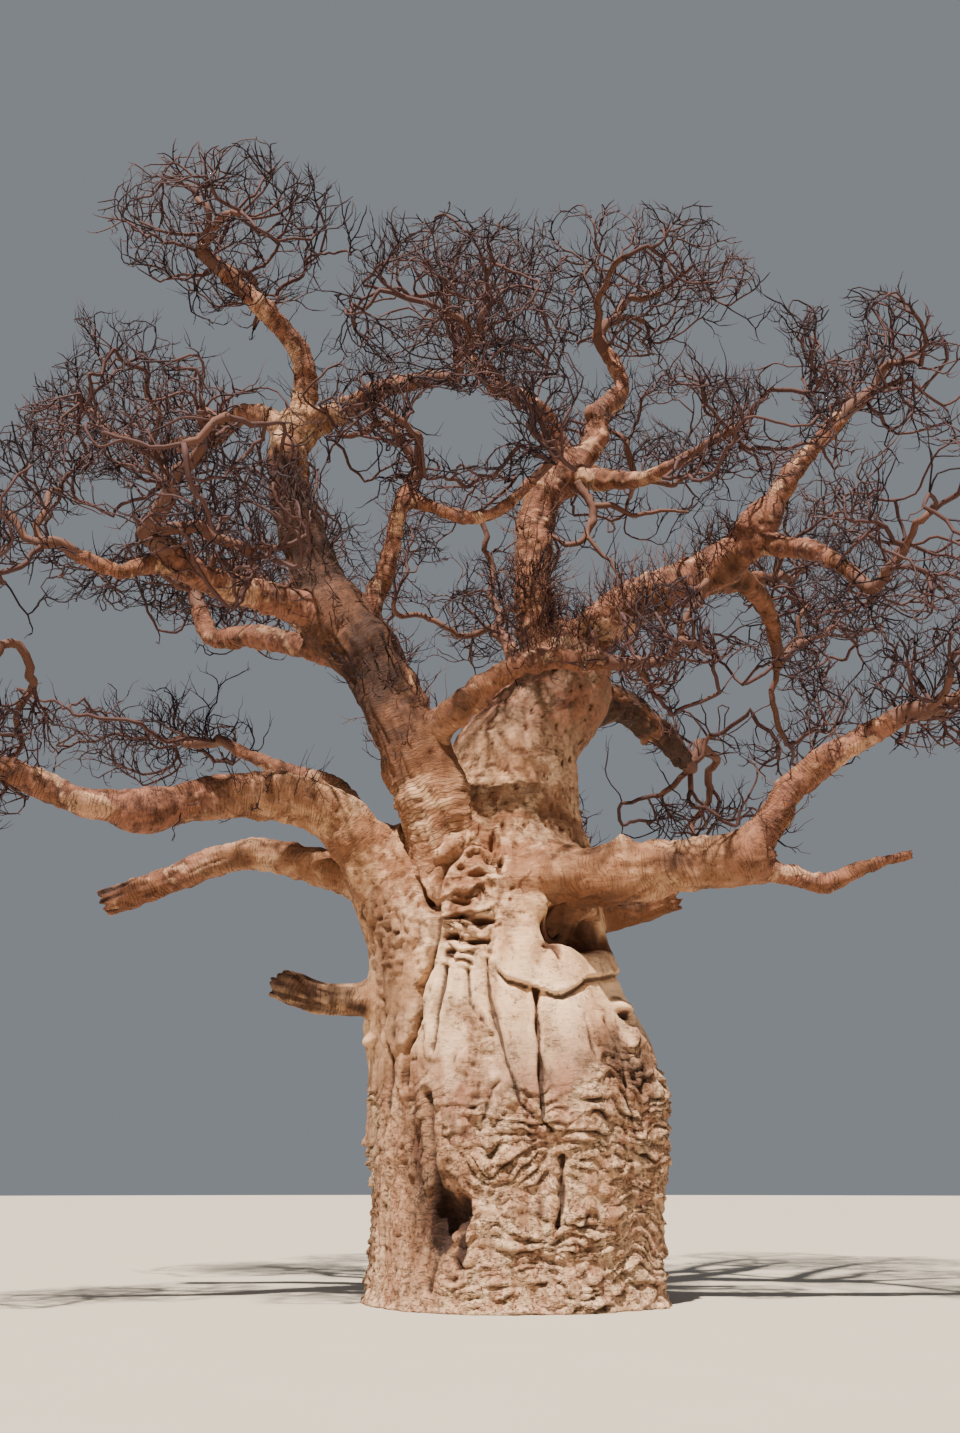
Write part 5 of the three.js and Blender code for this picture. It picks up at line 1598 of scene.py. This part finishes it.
class Signal:
    """A shader socket that can stand in a sum: each operator adds a Math node."""

    def __init__(self, sheet, socket):
        self.sheet, self.socket = sheet, socket

    def reckon(self, operation, first, second):
        return self.sheet.node("ShaderNodeMath", {"operation": operation}, {0: first, 1: second})

    def __add__(self, other):
        return self.reckon("ADD", self, other)

    def __sub__(self, other):
        return self.reckon("SUBTRACT", self, other)

    def __rsub__(self, other):
        return self.reckon("SUBTRACT", other, self)

    def __mul__(self, other):
        return self.reckon("MULTIPLY", self, other)

    def __abs__(self):
        return self.reckon("ABSOLUTE", self, 0.0)

    __radd__ = __add__
    __rmul__ = __mul__

    def remainder(self):
        """What is left of it over a whole number."""
        return self.reckon("FRACT", self, 0.0)

    def between(self, low, high):
        """Nought below low, one above high, and smooth between them."""
        return self.sheet.node(
            "ShaderNodeMapRange",
            {"interpolation_type": "SMOOTHSTEP"},
            {"Value": self, "From Min": low, "From Max": high},
        )


class Sheet:
    """The nodes of one material."""

    def __init__(self, name):
        self.material = bpy.data.materials.new(name)
        self.material.use_nodes = True
        self.tree = self.material.node_tree
        self.tree.nodes.clear()

    def node(self, kind, settings=None, inputs=None, output=0):
        """Adds a node, sets its settings, then the values or links of its sockets, and gives one output."""
        made = self.tree.nodes.new(kind)
        for key, value in (settings or {}).items():
            setattr(made, key, value)
        for key, value in (inputs or {}).items():
            socket = made.inputs[key]
            if isinstance(value, Signal):
                self.tree.links.new(value.socket, socket)
            elif socket.type == "RGBA" and len(value) == 3:
                socket.default_value = (*value, 1)
            else:
                socket.default_value = value
        return Signal(self, made.outputs[output]) if made.outputs else made

    def mix(self, share, first, second):
        """A colour between two by a share."""
        settings = {"data_type": "RGBA", "blend_type": "MIX", "clamp_factor": True}
        return self.node("ShaderNodeMix", settings, {0: share, 6: first, 7: second}, 2)

    def place(self):
        """The place in the object's own space, the same as in the scene."""
        return self.node("ShaderNodeTexCoord", None, None, "Object")

    def noise(self, place, scale, detail, rough=0.55, bent=0.0):
        """Noise of a scale, or of three when its lumps are stretched."""
        if isinstance(scale, tuple):
            place, scale = self.node("ShaderNodeMapping", None, {"Vector": place, "Scale": scale}), 1.0
        values = {"Vector": place, "Scale": scale, "Detail": detail, "Roughness": rough, "Distortion": bent}
        return self.node("ShaderNodeTexNoise", None, values)

    def slits(self, place, scale, detail, rough, bent, wide, soft):
        """Thin winding lines, where a noise is close to its middle value."""
        return (wide - abs(self.noise(place, scale, detail, rough, bent) - 0.5)).between(0.0, soft)

    def attribute(self, name, output="Fac"):
        return self.node("ShaderNodeAttribute", {"attribute_name": name}, None, output)

    def finish(self, inputs):
        """The bark's shader and the material's output."""
        shader = self.node("ShaderNodeBsdfPrincipled", None, inputs)
        self.node("ShaderNodeOutputMaterial", None, {"Surface": shader})
        return self.material


def bark_material(name, settings, ring_strength):
    """Bark in layers: broad and small mottling from tan to brown, redder and darker further out on the tree,
    partly as painted shade from the crown, greyer where it is wrinkled, pale and dark stains, run marks,
    creases darkened as painted shade, hair cracks, and fine level wrinkles as bumps with a line of painted
    shade under each lip. Above the wrinkled skin the trunk has brown blotches and mottling that also stand
    for painted dappled shade from the crown, scars, and small holes painted dark as shade. The stains also
    carry painted shade in hollows and on shaded limbs."""
    sheet = Sheet(name)
    place, grain = sheet.place(), sheet.attribute("grain", "Vector")
    crease, grey, level = sheet.attribute("crease"), sheet.attribute("grey"), sheet.attribute("level")
    lip, stain_and_shade, outer = sheet.attribute("lip"), sheet.attribute("stain_and_shade"), sheet.attribute("outer")
    height = sheet.node("ShaderNodeSeparateXYZ", None, {"Vector": place}, 2)
    broad = sheet.noise(place, 0.9, 5.0, 0.6, 0.3)
    patch = sheet.noise(place, 3.4, 6.0, 0.65, 0.5)
    fleck = sheet.noise(place, 17.0, 6.0, 0.7)
    tiny = sheet.noise(place, 70.0, 4.0, 0.65)
    stray = sheet.noise(place, 1.7, 6.0, 0.62, 0.8)
    runs = sheet.noise(place, (6.0, 6.0, 0.9), 5.0, 0.65)
    scars = sheet.noise(place, (2.2, 2.2, 15.0), 5.0, 0.65, 0.5)
    ringed = sheet.noise(grain, (3.0, 3.0, 17.0), 5.0, 0.65, 0.4)
    gap = sheet.slits(place, (4.5, 4.5, 10.0), 5.0, 0.6, 0.9, 0.035, 0.03) * fleck.between(0.42, 0.56) * grey
    crack = sheet.slits(grain, (2.6, 2.6, 7.0), 6.0, 0.65, 0.8, 0.02, 0.018) * patch.between(0.5, 0.62)
    hair = sheet.slits(grain, (9.0, 9.0, 22.0), 4.0, 0.6, 0.6, 0.02, 0.018) * fleck.between(0.45, 0.6)
    # Painted shade: a thin dark line under the lower edge of each lip and each ring
    phase = (level + (fleck - 0.5) * 0.12).remainder()
    under = (0.5 - abs(phase - 0.5)).between(0.13, 0.03) * lip
    inner, worn = 1.0 - outer, (grey + outer).between(0.0, 1.0)
    above = height.between(3.9, 6.2) * inner
    # Small holes high on the trunk: bumps only, painted dark as shade
    holes = sheet.noise(place, 6.5, 2.0, 0.5).between(0.62, 0.7) * above
    lit = 1.0 - stain_and_shade.between(-0.3, -1.0)
    mottled = sheet.mix(broad.between(0.4, 0.6), settings.tan, settings.warm)
    ruddy = sheet.mix(patch.between(0.38, 0.62), settings.ruddy, settings.dark_ruddy)
    ruddy = sheet.mix((stain_and_shade * 0.4 + patch - 0.1).between(0.5, 0.62) * 0.6, ruddy, settings.patch)
    greyed = sheet.mix(runs.between(0.4, 0.62), settings.grey, settings.dark_grey)
    washed = (stain_and_shade + patch - 0.5).between(0.2, 0.7) * inner
    # Brown blotches high on the trunk that also stand for painted dappled shade from the crown
    blotches_and_crown_shade = (stray + above * 0.1).between(0.5, 0.64) * (0.14 + 0.42 * above) + above * 0.42
    layers = [
        (patch.between(0.5, 0.7) * 0.5, settings.brown),
        ((outer * 0.95 + (broad - 0.5) * 0.5).between(0.1, 0.9), ruddy),
        (grey * (0.25 + 0.5 * patch.between(0.35, 0.65)), greyed),
        (washed * (0.3 + 0.6 * runs.between(0.62, 0.42)), settings.pale),
        (fleck.between(0.45, 0.34) * grey * 0.4, settings.ridge),
        # Real dark stains turn browner, and the painted shade in the stain and shade field turns the bark
        # toward shadow
        ((stain_and_shade * -1.3 + (patch - 0.5) * 0.9).between(0.0, 0.8) * 0.65, settings.brown),
        ((stain_and_shade * -1.0 + (runs - 0.5) * 0.8).between(0.4, 1.3) * 0.94, settings.shadow),
        (runs.between(0.55, 0.7) * 0.3, settings.brown),
        (fleck.between(0.56, 0.7) * (0.15 + 0.35 * worn), settings.brown),
        (tiny.between(0.6, 0.74) * 0.25, settings.shadow),
        # Painted shade: places that lie below their neighbours darken toward shadow, and raised ones turn
        # ridge tan where no painted shade lies
        ((crease * -1.0).between(0.2, 1.0) * lit * 0.45, settings.ridge),
        (crease.between(0.1, 0.9) * 0.88, settings.shadow),
        (crack * 0.6 + hair * 0.3 + gap * 0.7, settings.shadow),
        (under * 0.8, settings.shadow),
        (scars.between(0.52, 0.62) * above * 0.5, settings.brown),
        # Brown mottling high on the trunk, also standing for painted dappled shade
        (patch.between(0.47, 0.6) * above * 0.5, settings.brown),
        (holes * 0.7, settings.shadow),
        (blotches_and_crown_shade, settings.brown),
    ]
    colour = mottled
    for share, layer in layers:
        colour = sheet.mix(share, colour, layer)
    rise = ringed * ring_strength + fleck * (0.2 + 0.5 * worn) + tiny * 0.2 + patch * 0.5
    cut = crack * 0.4 + hair * 0.2 + under * 0.9 + gap * 0.7 + holes * 0.8 + scars * above * 1.2
    bump = sheet.node("ShaderNodeBump", None, {"Strength": 0.9, "Distance": 0.03, "Height": rise - cut})
    rough = 0.72 + 0.2 * fleck
    inputs = {"Base Color": colour, "Roughness": rough, "Specular IOR Level": 0.25, "Normal": bump}
    return sheet.finish(inputs)


def twig_material(name, colour):
    """Plain twig bark, so that each spray keeps its own shade."""
    sheet = Sheet(name)
    return sheet.finish({"Base Color": colour, "Roughness": 0.8, "Specular IOR Level": 0.25})


def shade(red, green, blue, name, words):
    """A colour that the user can change."""
    return bpy.props.FloatVectorProperty(
        name=name, description=words, subtype="COLOR", size=3, min=0, max=1, default=linear(red, green, blue)
    )


class BarkSettings(bpy.types.PropertyGroup):
    columns: bpy.props.IntProperty(
        name="Trunk columns", description="Points round the trunk", default=330, min=60, max=330
    )
    rows: bpy.props.IntProperty(
        name="Trunk rows", description="Rings up the trunk", default=298, min=60, max=300
    )
    cell: bpy.props.FloatProperty(
        name="Bough cell", description="Size of a bough's mesh cells", default=0.033, min=0.02, unit="LENGTH"
    )
    relief: bpy.props.FloatProperty(
        name="Relief", description="Height of the trunk's folds, grooves and knobs", default=1.0, min=0,
        max=1.5, subtype="FACTOR",
    )
    tan: shade(236, 200, 164, "Tan", "Sunlit bark of the trunk")
    warm: shade(224, 180, 140, "Warm tan", "Warmer bark of the trunk")
    # Brown also carries the painted dappled shade high on the trunk and painted shade from the stain and
    # shade field
    brown: shade(128, 84, 58, "Brown", "Flecks and run marks")
    ruddy: shade(140, 93, 74, "Red brown", "Bark of the boughs")
    dark_ruddy: shade(78, 48, 40, "Dark red brown", "Darker bark of the boughs")
    patch: shade(206, 162, 130, "Bough patches", "Pale patches on the boughs")
    grey: shade(242, 206, 168, "Grey", "Wrinkled skin near the ground")
    dark_grey: shade(186, 144, 110, "Dark grey", "Run marks near the ground")
    pale: shade(236, 212, 186, "Pale grey", "Washed pale patches")
    shadow: shade(46, 28, 22, "Crease brown", "Creases, hollows and dark stains")
    ridge: shade(236, 200, 162, "Ridge tan", "Worn tops of the folds")


class TwigSettings(bpy.types.PropertyGroup):
    tip_radius: bpy.props.FloatProperty(
        name="Tip radius", description="Radius of the finest twigs", default=0.0095, min=0.003, unit="LENGTH"
    )
    spur_share: bpy.props.FloatProperty(
        name="Spurs", description="Share of the slim nodes that bear a spur", default=0.13, min=0, max=1,
        subtype="FACTOR",
    )
    sprigs: bpy.props.FloatProperty(
        name="Sprigs", description="How many sprigs stand on the boughs", default=0.8, min=0, max=1.5,
        subtype="FACTOR",
    )
    stout: shade(96, 66, 56, "Stout twigs", "Bark of the stout twigs")
    middling: shade(74, 50, 48, "Middling twigs", "Bark of the middling twigs")
    slim_a: shade(46, 31, 36, "Slim twigs A", "First shade of the slim twigs")
    slim_b: shade(68, 46, 46, "Slim twigs B", "Second shade of the slim twigs")
    slim_c: shade(36, 24, 30, "Slim twigs C", "Third shade of the slim twigs")


class StageSettings(bpy.types.PropertyGroup):
    lens: bpy.props.FloatProperty(
        name="Lens", description="Focal length in mm", default=35.0, min=10, max=200
    )
    pitch: bpy.props.FloatProperty(
        name="Pitch", description="How far the camera looks up", default=PITCH, subtype="ANGLE"
    )
    station: bpy.props.FloatVectorProperty(
        name="Camera place", description="Where the photograph was taken from", size=3, default=STATION,
        subtype="TRANSLATION",
    )
    floor: shade(178, 168, 154, "Floor", "Plain pale floor")
    backdrop: shade(206, 214, 224, "Backdrop", "Plain pale light all round")
    sun: bpy.props.FloatProperty(
        name="Key light", description="Strength of the soft key light", default=13.2, min=0
    )
    sky: bpy.props.FloatProperty(
        name="Fill light", description="Strength of the light all round", default=0.35, min=0
    )


# The key light: how it is turned, how wide it looks and its colour. The floor's radius and its darker colour
KEY_TURN = (math.radians(28), 0, math.radians(-20))
KEY_WIDTH = math.radians(1.2)
KEY_COLOUR = (1.0, 0.91, 0.79)
FLOOR_RADIUS = 160
FLOOR_SHADE = (0.5, 0.45, 0.4)


class BAOBAB_OT_stage(bpy.types.Operator):
    """Set the camera where the photograph was taken from, with a plain floor and soft studio light"""

    bl_idname = "baobab.stage"
    bl_label = "Stage"

    def execute(self, context):
        settings = context.scene.baobab_stage
        camera = linked("camera", bpy.data.cameras.new("camera"))
        camera.data.lens = settings.lens
        camera.data.sensor_width = 36.0
        camera.data.clip_end = 500.0
        camera.location = settings.station
        camera.rotation_euler = (math.pi / 2 + settings.pitch, 0, 0)
        context.scene.camera = camera
        key = linked("key_light", bpy.data.lights.new("key_light", "SUN"))
        key.data.energy = settings.sun
        key.data.angle = KEY_WIDTH
        key.data.color = KEY_COLOUR
        key.rotation_euler = KEY_TURN
        world = bpy.data.worlds.new("studio")
        world.use_nodes = True
        backdrop = world.node_tree.nodes["Background"]
        backdrop.inputs["Color"].default_value = (*settings.backdrop, 1)
        backdrop.inputs["Strength"].default_value = settings.sky
        context.scene.world = world
        sheet = Sheet("floor")
        grit = sheet.noise(sheet.place(), 0.6, 3.0).between(0.3, 0.7)
        colour = sheet.mix(grit * 0.12, settings.floor, FLOOR_SHADE)
        turn = np.linspace(0, 2 * math.pi, 96, endpoint=False)
        rim = FLOOR_RADIUS * np.stack([np.cos(turn), np.sin(turn), 0 * turn], -1)
        mesh = bpy.data.meshes.new("floor")
        mesh.from_pydata(rim.tolist(), [], [list(range(len(rim)))])
        mesh.materials.append(sheet.finish({"Base Color": colour, "Roughness": 0.95}))
        floor = linked("floor", mesh)
        return {"FINISHED"}


class BAOBAB_OT_trunk(bpy.types.Operator):
    """Build the trunk with its folds, grooves and wrinkled bark"""

    bl_idname = "baobab.trunk"
    bl_label = "Trunk"

    def execute(self, context):
        settings = context.scene.baobab_bark
        make_trunk(settings, bark_material("trunk bark", settings, 0.5))
        return {"FINISHED"}


class BAOBAB_OT_boughs(bpy.types.Operator):
    """Build each bough with its fillets, knots and ringed bark"""

    bl_idname = "baobab.boughs"
    bl_label = "Boughs"

    def execute(self, context):
        settings = context.scene.baobab_bark
        material = bark_material("bough bark", settings, 0.9)
        for number, limb in enumerate(LIMBS.values()):
            make_bough(limb, number, settings, material)
        return {"FINISHED"}


# The material of each shade of twig, by its property, in the order of the shades
TWIG_SHADES = {
    "stout": "stout twigs", "middling": "middling twigs",
    "slim_a": "slim twigs a", "slim_b": "slim twigs b", "slim_c": "slim twigs c",
}


def twig_materials(settings):
    """The five plain shades of the twigs, in the order of their indices."""
    return [
        bpy.data.materials.get(name) or twig_material(name, getattr(settings, key))
        for key, name in TWIG_SHADES.items()
    ]


class BAOBAB_OT_twigs(bpy.types.Operator):
    """Grow the masses of bare twigs on from the tips of the boughs"""

    bl_idname = "baobab.twigs"
    bl_label = "Twigs"

    def execute(self, context):
        settings = context.scene.baobab_twigs
        materials = twig_materials(settings)
        growths, others = [], []
        for index in range(len(MASSES)):
            places, parents = first_growth(index, others)
            growths.append((places, parents))
            girth = TIP_RADIUS * np.maximum(loads_of(parents)[1:], 1) ** (1 / GIRTH_POWER)
            others.append((places[parents[1:]], places[1:], girth))
        for index, growth in enumerate(growths):
            make_mass(index, growth, settings, materials)
        return {"FINISHED"}


class BAOBAB_OT_sprigs(bpy.types.Operator):
    """Set short crooked sprigs on the bark of the big boughs"""

    bl_idname = "baobab.sprigs"
    bl_label = "Sprigs"

    def execute(self, context):
        settings = context.scene.baobab_twigs
        make_sprigs(settings, twig_materials(settings))
        return {"FINISHED"}


OPERATORS = (BAOBAB_OT_stage, BAOBAB_OT_trunk, BAOBAB_OT_boughs, BAOBAB_OT_twigs, BAOBAB_OT_sprigs)
GROUPS = {"baobab_bark": BarkSettings, "baobab_twigs": TwigSettings, "baobab_stage": StageSettings}


class BAOBAB_PT_tree(bpy.types.Panel):
    """The tree's sizes, colours and pieces"""

    bl_idname = "BAOBAB_PT_tree"
    bl_label = "Baobab"
    bl_space_type = "VIEW_3D"
    bl_region_type = "UI"
    bl_category = "Baobab"

    def draw(self, context):
        for operator in OPERATORS:
            self.layout.operator(operator.bl_idname)
        for key in GROUPS:
            box = self.layout.box()
            for name in getattr(context.scene, key).bl_rna.properties.keys():
                if name not in ("rna_type", "name"):
                    box.prop(getattr(context.scene, key), name)


def register():
    for key, group in GROUPS.items():
        bpy.utils.register_class(group)
        setattr(bpy.types.Scene, key, bpy.props.PointerProperty(type=group))
    for item in (*OPERATORS, BAOBAB_PT_tree):
        bpy.utils.register_class(item)


def unregister():
    for item in (BAOBAB_PT_tree, *OPERATORS):
        bpy.utils.unregister_class(item)
    for key, group in GROUPS.items():
        delattr(bpy.types.Scene, key)
        bpy.utils.unregister_class(group)


def main():
    register()
    bpy.ops.baobab.stage()
    bpy.ops.baobab.trunk()
    bpy.ops.baobab.boughs()
    bpy.ops.baobab.twigs()
    bpy.ops.baobab.sprigs()


if __name__ == "__main__":
    main()
